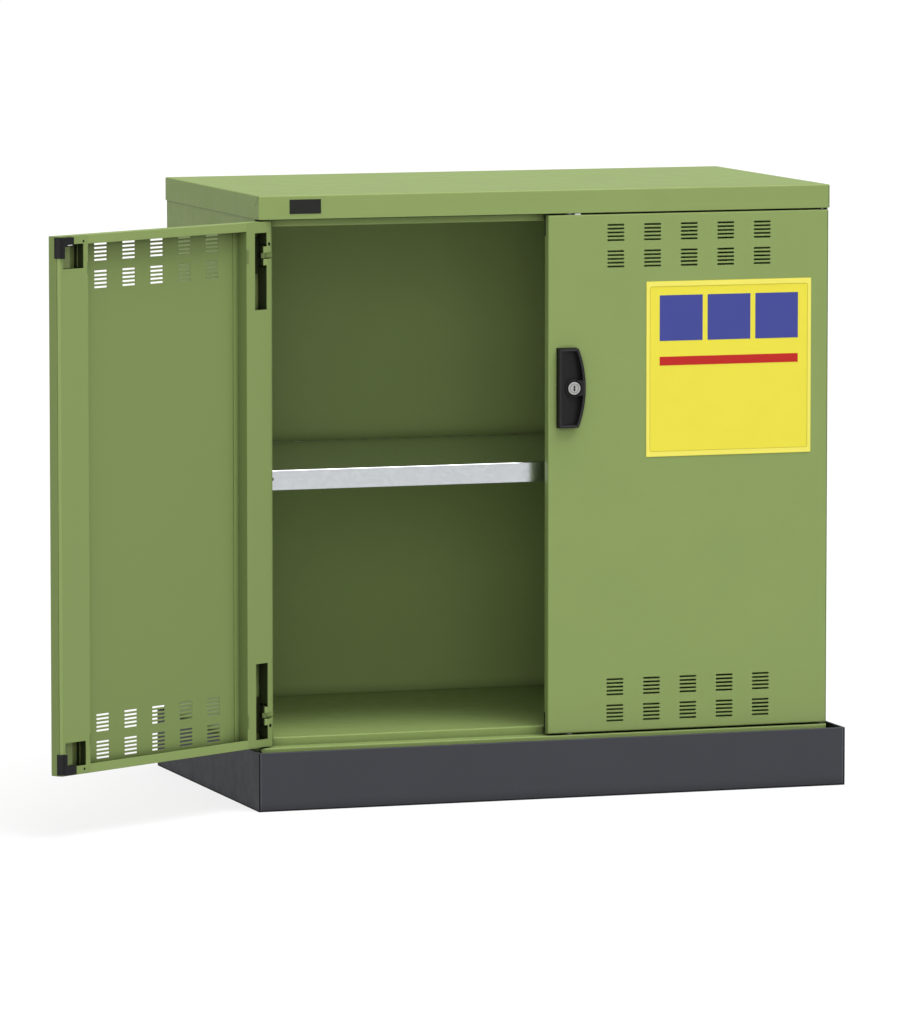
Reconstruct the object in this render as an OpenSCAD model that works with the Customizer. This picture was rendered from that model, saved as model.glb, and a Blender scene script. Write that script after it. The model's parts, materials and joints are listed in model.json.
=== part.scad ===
// Two-door ventilated steel cabinet in a spill tray, in millimetres.
// The origin is the middle of the tray's underside, with +Z up and the doors towards -Y.
// The left door stands open and the right door is closed.

/* [Cabinet] */
// Width over the cover
cab_w = 1023; // [900:1:1200]
// Depth over the cover
cab_d = 555; // [450:1:650]
// Height from the cabinet's underside to the top of the cover
cab_h = 1000; // [900:1:1200]
// Thickness of the cabinet's sheet
sheet = 1.5; // [1.2:0.1:1.8]
// Outer radius of the folded edges
bend_r = 2.2; // [2:0.1:3]
// Gap between the cover's lip and the panels inside it
lip_gap = 0.5; // [0.3:0.1:1]
// Height of the cover's lip
lip_h = 40; // [32:1:60]
// Depth of the space that the doors close into
door_space = 30; // [29.5:0.5:33]
// Height of the base front
base_front_h = 68; // [50:1:90]
// Height of the floor above the base front
floor_rise = 14; // [10:1:24]
// Depth of the flanges that the floor and the base front are joined by
joint_flange = 20; // [14:1:30]
// How far the header hangs below the cover's lip
header_drop = 14; // [10:1:16]
// Depth of the header from front to back
header_d = 25; // [15:1:40]
// Width of the side panels' front flange
front_flange = 30; // [29:1:34]
// Width of the side panels' back and top flanges
back_flange = 22; // [16:1:30]
// Width of the side panels' bottom flange
bottom_flange = 44; // [40:1:60]

/* [Spill tray] */
// Mean gap between the tray's outside and the cabinet's sides
tray_side_gap = 16.5; // [13:0.5:40]
// Gap between the tray's outside and the cabinet's front and back
tray_end_gap = 27.5; // [15:0.5:60]
// How far the cabinet stands to the right of the tray's middle
cab_shift = -6; // [-8:0.5:8]
// Height of the tray
tray_h = 100; // [60:1:102]
// Thickness of the tray's sheet
tray_sheet = 2; // [1.5:0.1:2.5]
// Outer radius of the tray's folded edges
tray_bend_r = 3; // [2.8:0.1:4]
// Drop of the folded rim inside the tray's top edge
rim_drop = 12; // [8:1:20]

/* [Feet] */
// Height of the cabinet's underside above the tray's floor
foot_h = 34; // [28:1:50]
// Radius of a foot's pad
pad_r = 18; // [14:0.5:19]
// Height of a foot's pad
pad_h = 12; // [10:0.5:14]
// Radius of a foot's stud
stud_r = 5; // [4:0.5:6]
// Distance of the feet from the cabinet's front and back panels
foot_inset = 60; // [40:1:100]
// Height of a stud's nut
nut_h = 6; // [5:0.5:8]
// Distance across the flats of a stud's nut
nut_flats = 17; // [16:0.5:19]

/* [Doors] */
// Gap above, below and between the doors
door_gap = 3; // [2.5:0.1:4]
// Thickness of a door
door_t = 23; // [22:0.5:23.5]
// Thickness of the doors' sheet
door_sheet = 1.2; // [1:0.1:1.4]
// Width of the hinge stile on the door's inner face
hinge_stile_w = 60.3; // [54:0.1:75]
// Width of the free stile, from its inner wall to the door's free edge
free_stile_w = 69.4; // [66:0.1:80]
// Width of the stiles' feet, which are welded to the skin
stile_foot = 10.5; // [8:0.5:14]
// Width of the inner flange along the door's top and bottom
door_rim = 14.8; // [14:0.1:18]
// Size of the bevel along the door's free edge
free_bevel = 5; // [3:0.5:6]
// Angle at which the left door stands open
left_angle = 150; // [90:5:150]

/* [Vents] */
// Columns of slots in a door
vent_cols = 5; // [1:1:5]
// Distance between the columns
vent_pitch = 66.4; // [50:0.1:66.6]
// Slots in a group
vent_rows = 5; // [1:1:6]
// Distance between the slots in a group
vent_row_pitch = 6.5; // [5:0.1:7]
// Distance between the two groups
vent_group_pitch = 45; // [43:0.5:60]
// Length of a slot
vent_slot_w = 30; // [15:1:40]
// Height of a slot
vent_slot_h = 3.2; // [2:0.1:4]
// Distance of the first slot from the door's edge
vent_edge = 18.5; // [16:0.5:40]

/* [Stile cut-outs] */
// Width of the slot beside a hinge
hinge_slot_w = 29; // [24:0.5:32]
// Distance of that slot from the door's hinge edge
hinge_slot_in = 10.5; // [10:0.1:11]
// Reach of that slot towards the door's near end
hinge_slot_out = 39; // [25:1:39]
// Reach of that slot towards the door's middle
hinge_slot_mid = 90; // [40:1:120]
// Width of the square openings in the free stile
stile_hole_w = 48; // [30:0.5:50]
// Height of the square openings in the free stile
stile_hole_h = 40; // [30:0.5:60]
// Distance of the square openings from the door's top and bottom
stile_hole_end = 14; // [10:0.5:30]
// Distance of the square openings from the door's free edge
stile_hole_in = 10.7; // [8:0.1:12]

/* [Hinges] */
// Distance of the hinge axis from the door's hinge edge
axis_in = 9; // [8.8:0.1:11.1]
// Distance of the hinge axis behind the door's front
axis_back = 12.7; // [12:0.1:12.8]
// Radius of the hinge pin
pin_r = 2.5; // [2:0.1:2.6]
// Radial clearance of the pin in its knuckles
pin_clear = 0.05; // [0.02:0.01:0.1]
// Outer radius of a knuckle
knuckle_r = 4; // [3.6:0.1:4]
// Height of the middle knuckle, which the carcass arm carries
arm_h = 8.4; // [7:0.2:9]
// Height of the whole barrel
barrel_h = 31; // [27:1:34]
// Gap between two knuckles
knuckle_gap = 0.3; // [0.3:0.1:0.6]
// Thickness of the hinge's plates and arm
hinge_plate = 3; // [2:0.1:3.4]
// Height of the hinge's plates
hinge_plate_h = 60; // [50:1:70]
// Width of the plate on the door
leaf_w = 27; // [15:1:40]
// Distance of the lower hinge above the door's lower edge
hinge_low = 52; // [50:0.5:80]
// Distance of the upper hinge below the door's upper edge
hinge_high = 57.5; // [55:0.5:80]

/* [Handle and lock] */
// Distance of the lock's axis from the right door's free edge
lock_in = 42.1; // [41:0.1:43]
// Height of the lock's axis above the door's lower edge
lock_rise = 592; // [250:1:640]
// Height of the handle
handle_h = 135; // [120:1:150]
// Width of the handle at its middle
handle_w = 47.5; // [46:0.5:49]
// Width of the handle at its ends
handle_end_w = 34.7; // [32:0.1:38]
// How far the handle stands out of the door
handle_proud = 13; // [11:0.5:18]
// Width of the handle's bowed rim
handle_rim = 4.5; // [3.5:0.1:5]
// Depth of the finger recess at the rim
recess_depth = 10; // [7:0.5:10.5]
// Distance of the lock's axis from the handle's straight edge
handle_lock_in = 26.7; // [26:0.1:27]
// Radius of the lock cylinder
lock_r = 10.75; // [10:0.05:11]
// Radius of the turning plug
plug_r = 7; // [6:0.1:7.5]
// Module of the rack and pinion
tooth_module = 1; // [0.9:0.05:1]
// Teeth of the pinion
pinion_teeth = 15; // [14:1:15]
// Play between the teeth
tooth_slack = 0.2; // [0.15:0.01:0.25]
// Radius of a lock rod
rod_r = 4; // [3:0.1:4.2]
// Distance of the lock rods behind the door's front
rod_back = 12; // [11.8:0.1:12.2]
// Clearance of the rods in their guides
rod_clear = 0.08; // [0.05:0.01:0.1]
// Radius of a rod guide
guide_r = 5.75; // [5.5:0.05:7]

/* [Shelf] */
// Slot of the uprights that the shelf hangs in, counted from below
shelf_slot = 8; // [2:1:14]
// Depth of the shelf's turned-down front edge
shelf_front = 34; // [26:1:45]
// Depth of the shelf's turned-down sides and back
shelf_side = 25; // [20:1:30]
// Distance of the shelf behind the carcass front
shelf_back = 20; // [12:1:40]
// Gap between the shelf and the back panel
shelf_gap = 15; // [5:1:30]
// Distance between the slots along the shelf's edges
shelf_pitch = 40; // [30:1:60]
// Length of a slot in the shelf's back edge
shelf_slot_w = 14; // [8:1:24]
// Width of a slot in the shelf's edges
shelf_slot_h = 5; // [2:0.5:6]
// Distance of the slots from the shelf's edges
shelf_slot_in = 7; // [5:0.5:12]
// Distance of the holes in the front edge from the shelf's ends
shelf_hole_in = 22; // [12:1:60]
// Radius of those holes
shelf_hole_r = 3; // [2:0.5:4]
// Width of the stiffener under the shelf
stiffener_w = 44; // [30:1:80]
// Depth of the stiffener
stiffener_h = 18; // [10:1:22]
// Width of the stiffener's welded edges
stiffener_lip = 16; // [8:1:24]
// Distance of the stiffener from the shelf's ends
stiffener_in = 30; // [10:1:80]
// Thickness of a shelf clip
clip_t = 1.5; // [1:0.1:2]
// Length of a clip's ledge
clip_ledge = 14; // [8:1:20]
// Height of a clip above its slot
clip_rise = 8; // [5:1:14]
// Depth of an upright
upright_d = 10; // [8:0.5:12]
// Width of an upright
upright_w = 24; // [22:1:30]
// Distance between the slots of an upright
upright_pitch = 50; // [40:1:60]
// Distance of the front uprights behind the carcass front
upright_front = 62; // [50:1:90]
// Distance of the back uprights from the back panel
upright_rear = 46; // [36:1:80]

/* [Plates] */
// Side of the square plate on the right door
notice_size = 300; // [150:1:300]
// Distance of that plate from the door's hinge edge
notice_in = 31.5; // [20:0.5:45]
// Distance of that plate below the door's upper edge
notice_drop = 116.5; // [80:0.5:140]
// Width of the plate on the cover
badge_w = 55; // [30:1:90]
// Height of the plate on the cover
badge_h = 24; // [14:1:26]
// Distance of that plate from the cover's left side
badge_in = 54; // [20:1:200]
// Thickness of both plates
plate_t = 0.8; // [0.5:0.1:1.2]
// Thickness of the coloured fields
field_t = 0.3; // [0.2:0.1:0.5]

/* [Hidden] */
$fn = 48;
eps = 0.01;
over = 1;

// Clearance between pieces that slide into each other
slip = 0.3;
// Clearance between pieces that are welded or screwed together
seam = 0.05;
side_inset = sheet + lip_gap;
tray_w = cab_w + 2 * tray_side_gap;
tray_d = cab_d + 2 * tray_end_gap;
base_z = tray_sheet + foot_h;
cab_top = base_z + cab_h;
lip_z = cab_top - lip_h;
ledge_z = base_z + base_front_h;
floor_z = ledge_z + floor_rise;
header_z = lip_z - header_drop;
roof_z = cab_top - sheet - slip;
back_y = cab_d - side_inset;
wall_in = side_inset + sheet;

door_w = (cab_w - 2 * side_inset - door_gap) / 2;
door_z = ledge_z + door_gap;
door_top = lip_z - door_gap;
door_h = door_top - door_z;
door_inner = door_t - door_sheet;
foot_face = 2 * door_sheet + seam;
low_hinge_z = door_z + hinge_low;
high_hinge_z = door_top - hinge_high;
hinge_x = side_inset + axis_in;

lock_x = cab_w - side_inset - door_w + lock_in;
lock_z = door_z + lock_rise;
pitch_r = tooth_module * pinion_teeth / 2;
tooth_pitch = tooth_module * PI;
root_depth = 1.25 * tooth_module;
pressure = 25;
rod_travel = pitch_r * PI / 2;
rack_back = pitch_r + 6.5;
rack_t = 5;
pinion_t = 6;
rack_tail = rod_travel + 7;
bridge_z = 16;
bridge_h = 6;
case_half = 52;
case_back = rod_back + rod_r + slip;
case_sheet = 1.5;
case_screw_x = -9.5;
case_screw_z = 45;
case_screw_r = 2;
screw_clear = 0.05;

upright_foot = floor_z;
upright_top = roof_z - sheet;
slot_start = 30;
slot_h = 4;
clip_drop = 3.5;
clip_z = upright_foot + slot_start + shelf_slot * upright_pitch - clip_drop;
shelf_top = clip_z + shelf_side;
shelf_y = door_space + shelf_back;
shelf_d = back_y - sheet - shelf_gap - shelf_y;
shelf_x = wall_in + upright_d + clip_t + slip;
shelf_w = cab_w - 2 * shelf_x;

bend_steps = 4;
green = [0.55, 0.62, 0.38];
dark_grey = [0.28, 0.28, 0.30];
galvanised = [0.78, 0.79, 0.80];
black = [0.13, 0.13, 0.13];
zinc = [0.70, 0.70, 0.71];
white = [0.93, 0.93, 0.91];
yellow = [0.93, 0.88, 0.29];
blue = [0.26, 0.29, 0.58];
red = [0.72, 0.16, 0.14];

// Unit vector from a to b
function unit(a, b) = (b - a) / norm(b - a);
// A direction turned a quarter turn to the left
function left_of(d) = [-d[1], d[0]];
// A vector turned by an angle
function turned(v, a) = [v[0] * cos(a) - v[1] * sin(a), v[0] * sin(a) + v[1] * cos(a)];
// Signed angle from one unit vector to another
function turn_between(a, b) = atan2(a[0] * b[1] - a[1] * b[0], a * b);
// Points of a round corner of radius r at b, on the way from a to c
function corner_arc(a, b, c, r) =
    let (d = unit(a, b))
    let (turn = turn_between(d, unit(b, c)))
    let (spoke = -left_of(d) * r * sign(turn))
    let (centre = b - d * r * tan(abs(turn) / 2) - spoke)
    [for (k = [0:bend_steps]) centre + turned(spoke, turn * k / bend_steps)];
// A path with its inner corners rounded
function rounded(p, r) = concat(
    [p[0]],
    [for (i = [1:len(p) - 2]) each corner_arc(p[i - 1], p[i], p[i + 1], r)],
    [p[len(p) - 1]]);
// A path moved by t to its left
function shifted(p, t) = [
    for (i = [0:len(p) - 1])
    let (a = left_of(i > 0 ? unit(p[i - 1], p[i]) : unit(p[0], p[1])))
    let (b = i < len(p) - 1 ? left_of(unit(p[i], p[i + 1])) : a)
    p[i] + (a + b) * t / (1 + a * b)];
function reversed(p) = [for (i = [len(p) - 1:-1:0]) p[i]];
// Outline of a sheet of thickness t whose right side follows a path
function folded(p, t) = concat(p, reversed(shifted(p, t)));

// Turns a plan view drawn in X and Y into a column from z0 to z1
module column(z0, z1) {
    translate([0, 0, z0]) linear_extrude(z1 - z0) children();
}

// Turns a side view drawn in Y and Z into a bar from x0 to x1
module bar_x(x0, x1) {
    translate([x0, 0, 0]) rotate([90, 0, 90]) linear_extrude(x1 - x0) children();
}

// Turns a front view drawn in X and Z into a plate from y0 to y1
module plate_y(y0, y1) {
    translate([0, y1, 0]) rotate([90, 0, 0]) linear_extrude(y1 - y0) children();
}

// A box from one corner to the other
module block(a, b) {
    translate(a) cube(b - a);
}

// A round hole or pin along Y
module rod_y(x, z, r, y0, y1) {
    translate([x, y1, z]) rotate([90, 0, 0]) cylinder(h = y1 - y0, r = r);
}

// A block whose four top edges are folded round
module crowned_block(w, d, h, r) {
    intersection() {
        plate_y(0, d) polygon(rounded([[0, 0], [0, h], [w, h], [w, 0]], r));
        bar_x(0, w) polygon(rounded([[0, 0], [0, h], [d, h], [d, 0]], r));
    }
}

// A sheet box that is open below, with folded top edges
module crowned_shell(w, d, h, r, t) {
    difference() {
        crowned_block(w, d, h, r);
        translate([t, t, -over])
            crowned_block(w - 2 * t, d - 2 * t, h - t + over, r - t);
    }
}

// A pan head screw along +X, its head outside the face at x = 0
module screw_x(shank_r, shank_l, head_r) {
    rotate([0, 90, 0]) cylinder(h = shank_l, r = shank_r);
    difference() {
        translate([-2.2, 0, 0])
            rotate([0, 90, 0]) cylinder(h = 2.2, r1 = head_r * 0.75, r2 = head_r);
        for (a = [0, 90])
            translate([-2.2, 0, 0]) rotate([a, 0, 0])
                block([-over, -head_r * 0.55, -0.5], [1.2, head_r * 0.55, 0.5]);
    }
}

// Puts cabinet pieces in the tray: they are drawn from the cover's left front corner
module in_tray() {
    translate([cab_shift - cab_w / 2, -cab_d / 2, 0]) children();
}

// Draws a piece of the left side and its mirror image on the right
module on_right() {
    translate([cab_w, 0, 0]) mirror([1, 0, 0]) children();
}

// Places a piece of the left door, drawn from its hinge edge, in the open door
module on_left_door() {
    in_tray()
        translate([hinge_x, axis_back, 0])
            rotate([0, 0, -left_angle])
                translate([-axis_in, -axis_back, 0]) children();
}

// Places a piece of the right door, drawn from its hinge edge
module on_right_door() {
    in_tray() on_right() translate([side_inset, 0, 0]) children();
}

// ---- Spill tray and feet ----

module spill_tray() {
    color(dark_grey)
        translate([-tray_w / 2, tray_d / 2, tray_h])
            mirror([0, 1, 0]) mirror([0, 0, 1])
                union() {
                    crowned_shell(tray_w, tray_d, tray_h, tray_bend_r, tray_sheet);
                    // The rim is folded down inside the walls
                    difference() {
                        block([tray_sheet - eps, tray_sheet - eps, 0],
                            [tray_w - tray_sheet + eps, tray_d - tray_sheet + eps, rim_drop]);
                        block([2 * tray_sheet, 2 * tray_sheet, -over],
                            [tray_w - 2 * tray_sheet, tray_d - 2 * tray_sheet, rim_drop + over]);
                    }
                }
}

foot_x = side_inset + bottom_flange / 2 + 1;
foot_y = door_space + foot_inset;

module at_feet() {
    for (x = [foot_x, cab_w - foot_x])
        for (y = [foot_y, cab_d - foot_y])
            translate([x, y, 0]) children();
}

// The pads' sockets are blind, and the studs stand in them
module foot_pads() {
    color(black) in_tray() at_feet()
        difference() {
            translate([0, 0, tray_sheet]) {
                cylinder(h = pad_h * 0.5, r = pad_r);
                translate([0, 0, pad_h * 0.5]) cylinder(h = pad_h * 0.5, r1 = pad_r, r2 = pad_r * 0.6);
            }
            translate([0, 0, tray_sheet + pad_h * 0.4]) cylinder(h = pad_h, r = stud_r + screw_clear);
        }
}

module foot_studs() {
    color(zinc) in_tray() at_feet()
        translate([0, 0, tray_sheet + pad_h * 0.4])
            cylinder(h = foot_h - pad_h * 0.4 + sheet + nut_h + 4, r = stud_r);
}

module foot_nuts() {
    color(zinc) in_tray() at_feet()
        for (z = [base_z - nut_h, base_z + sheet])
            translate([0, 0, z])
                difference() {
                    cylinder(h = nut_h, r = nut_flats / 2 / cos(30), $fn = 6);
                    translate([0, 0, -over])
                        cylinder(h = nut_h + 2 * over, r = stud_r + screw_clear);
                }
}

// ---- Carcass ----

arm_y = door_space - axis_back;
arm_x = hinge_x + arm_y;
arm_slant = hinge_plate * sqrt(2) / 2;
arm_notch_h = arm_h + 2.6;
bracket_y = door_space + sheet;
bracket_screw_y = bracket_y + 20;
bracket_screw_z = hinge_plate_h / 2 - 10;
bracket_screw_r = 2.4;

module bracket_screw_places() {
    for (z = [low_hinge_z, high_hinge_z])
        for (side = [-1, 1])
            translate([0, bracket_screw_y, z + side * bracket_screw_z]) children();
}

module side_panel() {
    difference() {
        union() {
            column(base_z, roof_z)
                polygon(folded(rounded([
                    [side_inset + front_flange, door_space],
                    [side_inset, door_space],
                    [side_inset, back_y - sheet],
                    [side_inset + back_flange, back_y - sheet]], bend_r), -sheet));
            block([side_inset + sheet / 2, door_space + sheet / 2, base_z],
                [side_inset + bottom_flange, back_y - sheet * 1.5, base_z + sheet]);
            block([side_inset + sheet / 2, door_space + sheet / 2, roof_z - sheet],
                [side_inset + back_flange, back_y - sheet * 1.5, roof_z]);
        }
        for (z = [low_hinge_z, high_hinge_z])
            block([arm_x - arm_slant - 0.8, door_space - over, z - arm_notch_h / 2],
                [side_inset + front_flange + over, bracket_y + over, z + arm_notch_h / 2]);
        bracket_screw_places()
            rotate([0, 90, 0]) cylinder(h = 2 * wall_in, r = bracket_screw_r + screw_clear);
        for (y = [foot_y, cab_d - foot_y])
            translate([foot_x, y, base_z - over])
                cylinder(h = sheet + 2 * over, r = stud_r + screw_clear);
        back_screw_holes();
    }
}

module side_panel_left() {
    color(green) in_tray() side_panel();
}

module side_panel_right() {
    color(green) in_tray() on_right() side_panel();
}

back_screw_r = 2;
back_screw_x = side_inset + back_flange / 2 + 2;

module back_screw_places() {
    for (k = [0:4])
        translate([back_screw_x, back_y, base_z + 50 + k * (cab_h - 100) / 4]) children();
}

module back_screw_holes() {
    back_screw_places()
        rotate([90, 0, 0])
            translate([0, 0, -over]) cylinder(h = 3 * sheet, r = back_screw_r + screw_clear);
}

module back_panel() {
    color(green) in_tray()
        difference() {
            block([side_inset, back_y - sheet, base_z], [cab_w - side_inset, back_y, roof_z]);
            back_screw_holes();
            on_right() back_screw_holes();
        }
}

// Ten screws hold the back panel on the side panels' back flanges
module back_panel_screws() {
    color(zinc) in_tray() {
        back_screw_places() rotate([0, 0, -90]) screw_x(back_screw_r, 2 * sheet, 4);
        on_right() back_screw_places() rotate([0, 0, -90]) screw_x(back_screw_r, 2 * sheet, 4);
    }
}

rivet_r = 2.4;
rivet_z = ledge_z - joint_flange / 2 - sheet;

module rivet_places() {
    for (k = [0:4])
        translate([side_inset + front_flange + 30 + k * (cab_w - 2 * side_inset
            - 2 * front_flange - 60) / 4, door_space, rivet_z]) children();
}

module rivet_holes() {
    rivet_places()
        rotate([90, 0, 0])
            translate([0, 0, -2 * sheet]) cylinder(h = 4 * sheet, r = rivet_r + screw_clear);
}

module floor_pan() {
    pan_x = wall_in + slip;
    lip_x = side_inset + front_flange + slip;
    pan_low = ledge_z - joint_flange;
    pan_back = back_y - 2 * sheet - slip;
    color(green) in_tray()
        difference() {
            union() {
                // The pan between the side panels, with its turned-down sides
                translate([pan_x, bracket_y + slip, pan_low])
                    crowned_shell(cab_w - 2 * pan_x, pan_back - bracket_y - slip,
                        floor_z - pan_low, bend_r, sheet);
                // Its front runs forward between the front flanges and turns down
                bar_x(lip_x, cab_w - lip_x)
                    polygon(folded(rounded([
                        [door_space, pan_low],
                        [door_space, floor_z],
                        [bracket_y + 3 * bend_r, floor_z]], bend_r), -sheet));
            }
            // The pan's own front wall is open behind the lip
            block([lip_x, bracket_y, pan_low - over],
                [cab_w - lip_x, bracket_y + slip + sheet + eps, floor_z - bend_r - eps]);
            rivet_holes();
        }
}

// Rod keepers: round holes in the ledge below the doors and in the cover's flange
module keeper_hole(z) {
    translate([lock_x, rod_back, z - 2 * sheet])
        cylinder(h = 4 * sheet, r = rod_r + 1.5);
}

module base_front() {
    color(green) in_tray()
        difference() {
            union() {
                bar_x(side_inset, cab_w - side_inset)
                    polygon(folded(rounded([
                        [joint_flange, base_z],
                        [0, base_z],
                        [0, ledge_z],
                        [door_space, ledge_z],
                        [door_space, ledge_z - joint_flange]], bend_r), -sheet));
                for (x = [side_inset, cab_w - side_inset - sheet])
                    block([x, sheet / 2, base_z + sheet / 2],
                        [x + sheet, door_space - sheet / 2, ledge_z - sheet / 2]);
            }
            keeper_hole(ledge_z);
            rivet_holes();
        }
}

// Five rivets join the floor's front lip to the base front
module base_rivets() {
    color(zinc) in_tray() rivet_places() {
        rotate([90, 0, 0])
            translate([0, 0, -sheet]) cylinder(h = 2 * sheet, r = rivet_r);
        rotate([90, 0, 0])
            translate([0, 0, sheet]) cylinder(h = 1.2, r1 = rivet_r * 1.8, r2 = rivet_r);
        rotate([90, 0, 0])
            translate([0, 0, -sheet - 1.2]) cylinder(h = 1.2, r1 = rivet_r, r2 = rivet_r * 1.8);
    }
}

module header_rail() {
    header_x = side_inset + front_flange + slip;
    color(green) in_tray()
        bar_x(header_x, cab_w - header_x)
            polygon(folded(rounded([
                [door_space + header_d, header_z],
                [door_space, header_z],
                [door_space, roof_z],
                [door_space + header_d, roof_z]], bend_r), -sheet));
}

module top_cover() {
    color(green) in_tray()
        difference() {
            union() {
                translate([0, 0, lip_z])
                    crowned_shell(cab_w, cab_d, lip_h, bend_r, sheet);
                // The flange turned back from the front lip, over the doors
                block([sheet / 2, sheet / 2, lip_z], [cab_w - sheet / 2, door_space, lip_z + sheet]);
            }
            keeper_hole(lip_z + sheet);
        }
}

module badge_plate() {
    badge_z = lip_z + (lip_h - badge_h) / 2 + 1;
    color(black) in_tray()
        block([badge_in, -plate_t, badge_z], [badge_in + badge_w, 0, badge_z + badge_h]);
}

// ---- Shelf ----

upright_front_y = door_space + upright_front;
upright_rear_y = back_y - sheet - upright_rear;
upright_slot_w = upright_w - 12;
slot_count = floor((upright_top - upright_foot - 2 * slot_start) / upright_pitch);

module upright(y) {
    difference() {
        column(upright_foot, upright_top)
            polygon(folded(rounded([
                [wall_in, y - upright_w / 2],
                [wall_in + upright_d, y - upright_w / 2],
                [wall_in + upright_d, y + upright_w / 2],
                [wall_in, y + upright_w / 2]], bend_r), sheet));
        for (k = [0:slot_count])
            translate([0, y, upright_foot + slot_start + k * upright_pitch])
                block([wall_in + upright_d - 2 * sheet, -upright_slot_w / 2, -slot_h / 2],
                    [wall_in + upright_d + over, upright_slot_w / 2, slot_h / 2]);
    }
}

module upright_left_front() {
    color(green) in_tray() upright(upright_front_y);
}

module upright_left_rear() {
    color(green) in_tray() upright(upright_rear_y);
}

module upright_right_front() {
    color(green) in_tray() on_right() upright(upright_front_y);
}

module upright_right_rear() {
    color(green) in_tray() on_right() upright(upright_rear_y);
}

// A clip's tongue goes through a slot of the upright, and its ledge carries the shelf
module shelf_clip(y) {
    face = wall_in + upright_d;
    tongue_z = clip_z + clip_drop;
    half = upright_slot_w / 2 - slip;
    block([face, y - half, clip_z - clip_t], [face + clip_t, y + half, tongue_z + slot_h / 2 + clip_rise]);
    block([face - 2 * sheet - 1, y - half, tongue_z - slot_h / 2 + slip],
        [face + eps, y + half, tongue_z + slot_h / 2 - slip]);
    block([face, y - half, clip_z - clip_t], [face + clip_t + clip_ledge, y + half, clip_z]);
}

module shelf_clips() {
    color(galvanised) in_tray()
        for (y = [upright_front_y, upright_rear_y]) {
            shelf_clip(y);
            on_right() shelf_clip(y);
        }
}

module shelf() {
    slots = floor((shelf_w - 30) / shelf_pitch);
    first = shelf_x + (shelf_w - slots * shelf_pitch) / 2;
    color(galvanised) in_tray()
        difference() {
            union() {
                translate([shelf_x, shelf_y, shelf_top - shelf_side])
                    crowned_shell(shelf_w, shelf_d, shelf_side, bend_r, sheet);
                // The front edge hangs lower and turns back
                bar_x(shelf_x + 4, shelf_x + shelf_w - 4)
                    polygon(folded([
                        [shelf_y + 14, shelf_top - shelf_front],
                        [shelf_y, shelf_top - shelf_front],
                        [shelf_y, shelf_top - shelf_side / 2]], -sheet));
            }
            // Slots along the back and front edges
            for (k = [0:slots])
                translate([first + k * shelf_pitch, shelf_y, shelf_top - sheet - over]) {
                    block([-shelf_slot_w / 2, shelf_d - shelf_slot_in - shelf_slot_h, 0],
                        [shelf_slot_w / 2, shelf_d - shelf_slot_in, 2 * sheet + over]);
                    block([-shelf_slot_h, shelf_slot_in, 0],
                        [shelf_slot_h, shelf_slot_in + shelf_slot_h / 2, 2 * sheet + over]);
                }
            // A hole near each end of the front edge
            for (x = [shelf_x + shelf_hole_in, shelf_x + shelf_w - shelf_hole_in])
                rod_y(x, shelf_top - shelf_front * 0.45, shelf_hole_r, shelf_y - over,
                    shelf_y + 2 * bend_r);
        }
}

// A hat-shaped stiffener welded under the middle of the shelf
module shelf_stiffener() {
    mid = shelf_y + shelf_d / 2;
    under = shelf_top - sheet;
    low = under - stiffener_h;
    half = stiffener_w / 2;
    color(galvanised) in_tray()
        bar_x(shelf_x + stiffener_in, shelf_x + shelf_w - stiffener_in)
            polygon(folded([
                [mid - half - stiffener_lip, under],
                [mid - half, under],
                [mid - half, low],
                [mid + half, low],
                [mid + half, under],
                [mid + half + stiffener_lip, under]], -sheet));
}

// ---- Doors ----

module vent_slots() {
    first_col = door_w / 2 - (vent_cols - 1) * vent_pitch / 2;
    for (end = [0, 1])
        for (group = [0, 1])
            for (row = [0:vent_rows - 1])
                for (col = [0:vent_cols - 1]) {
                    drop = vent_edge + group * vent_group_pitch + row * vent_row_pitch;
                    z = end == 0 ? door_top - drop : door_z + drop;
                    translate([first_col + col * vent_pitch - vent_slot_w / 2, z - vent_slot_h / 2])
                        square([vent_slot_w, vent_slot_h]);
                }
}

// What the carcass arms sweep through: the skin's hinge edge and the stile's edge strip
module arm_notches() {
    for (z = [low_hinge_z, high_hinge_z])
        block([-over, axis_back - 6, z - arm_notch_h / 2],
            [hinge_slot_in + over, door_t + over, z + arm_notch_h / 2]);
}

// A door's front sheet with its four folded edges and its inner top and bottom flanges
module door_skin() {
    rim_in = hinge_stile_w;
    rim_out = door_w - free_stile_w;
    difference() {
        union() {
            translate([0, door_t, door_z]) rotate([90, 0, 0])
                crowned_shell(door_w, door_h, door_t, bend_r, door_sheet);
            plate_y(door_inner, door_t)
                for (z = [door_z + door_sheet / 2, door_top - door_rim])
                    translate([rim_in, z]) square([rim_out - rim_in, door_rim - door_sheet / 2]);
        }
        plate_y(-over, door_sheet + over) vent_slots();
        arm_notches();
        // The free edge's wall stops at the bevel
        block([door_w - 2 * door_sheet, door_t - free_bevel, door_z - over],
            [door_w + over, door_t + over, door_top + over]);
    }
}

// Room at a stile's ends for the inside of the skin's folds
module fold_room() {
    for (z = [door_z, door_top - bend_r])
        block([-over, -over, z], [door_w + over, foot_face + eps, z + bend_r]);
}

module hinge_stile() {
    difference() {
        column(door_z + door_sheet + seam, door_top - door_sheet - seam)
            polygon(folded([
                [door_sheet + seam, door_t],
                [hinge_stile_w, door_t],
                [hinge_stile_w, foot_face],
                [hinge_stile_w + stile_foot, foot_face]], -door_sheet));
        arm_notches();
        fold_room();
        block([hinge_slot_in, door_inner - over, low_hinge_z - hinge_slot_out],
            [hinge_slot_in + hinge_slot_w, door_t + over, low_hinge_z + hinge_slot_mid]);
        block([hinge_slot_in, door_inner - over, high_hinge_z - hinge_slot_mid],
            [hinge_slot_in + hinge_slot_w, door_t + over, high_hinge_z + hinge_slot_out]);
    }
}

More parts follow.
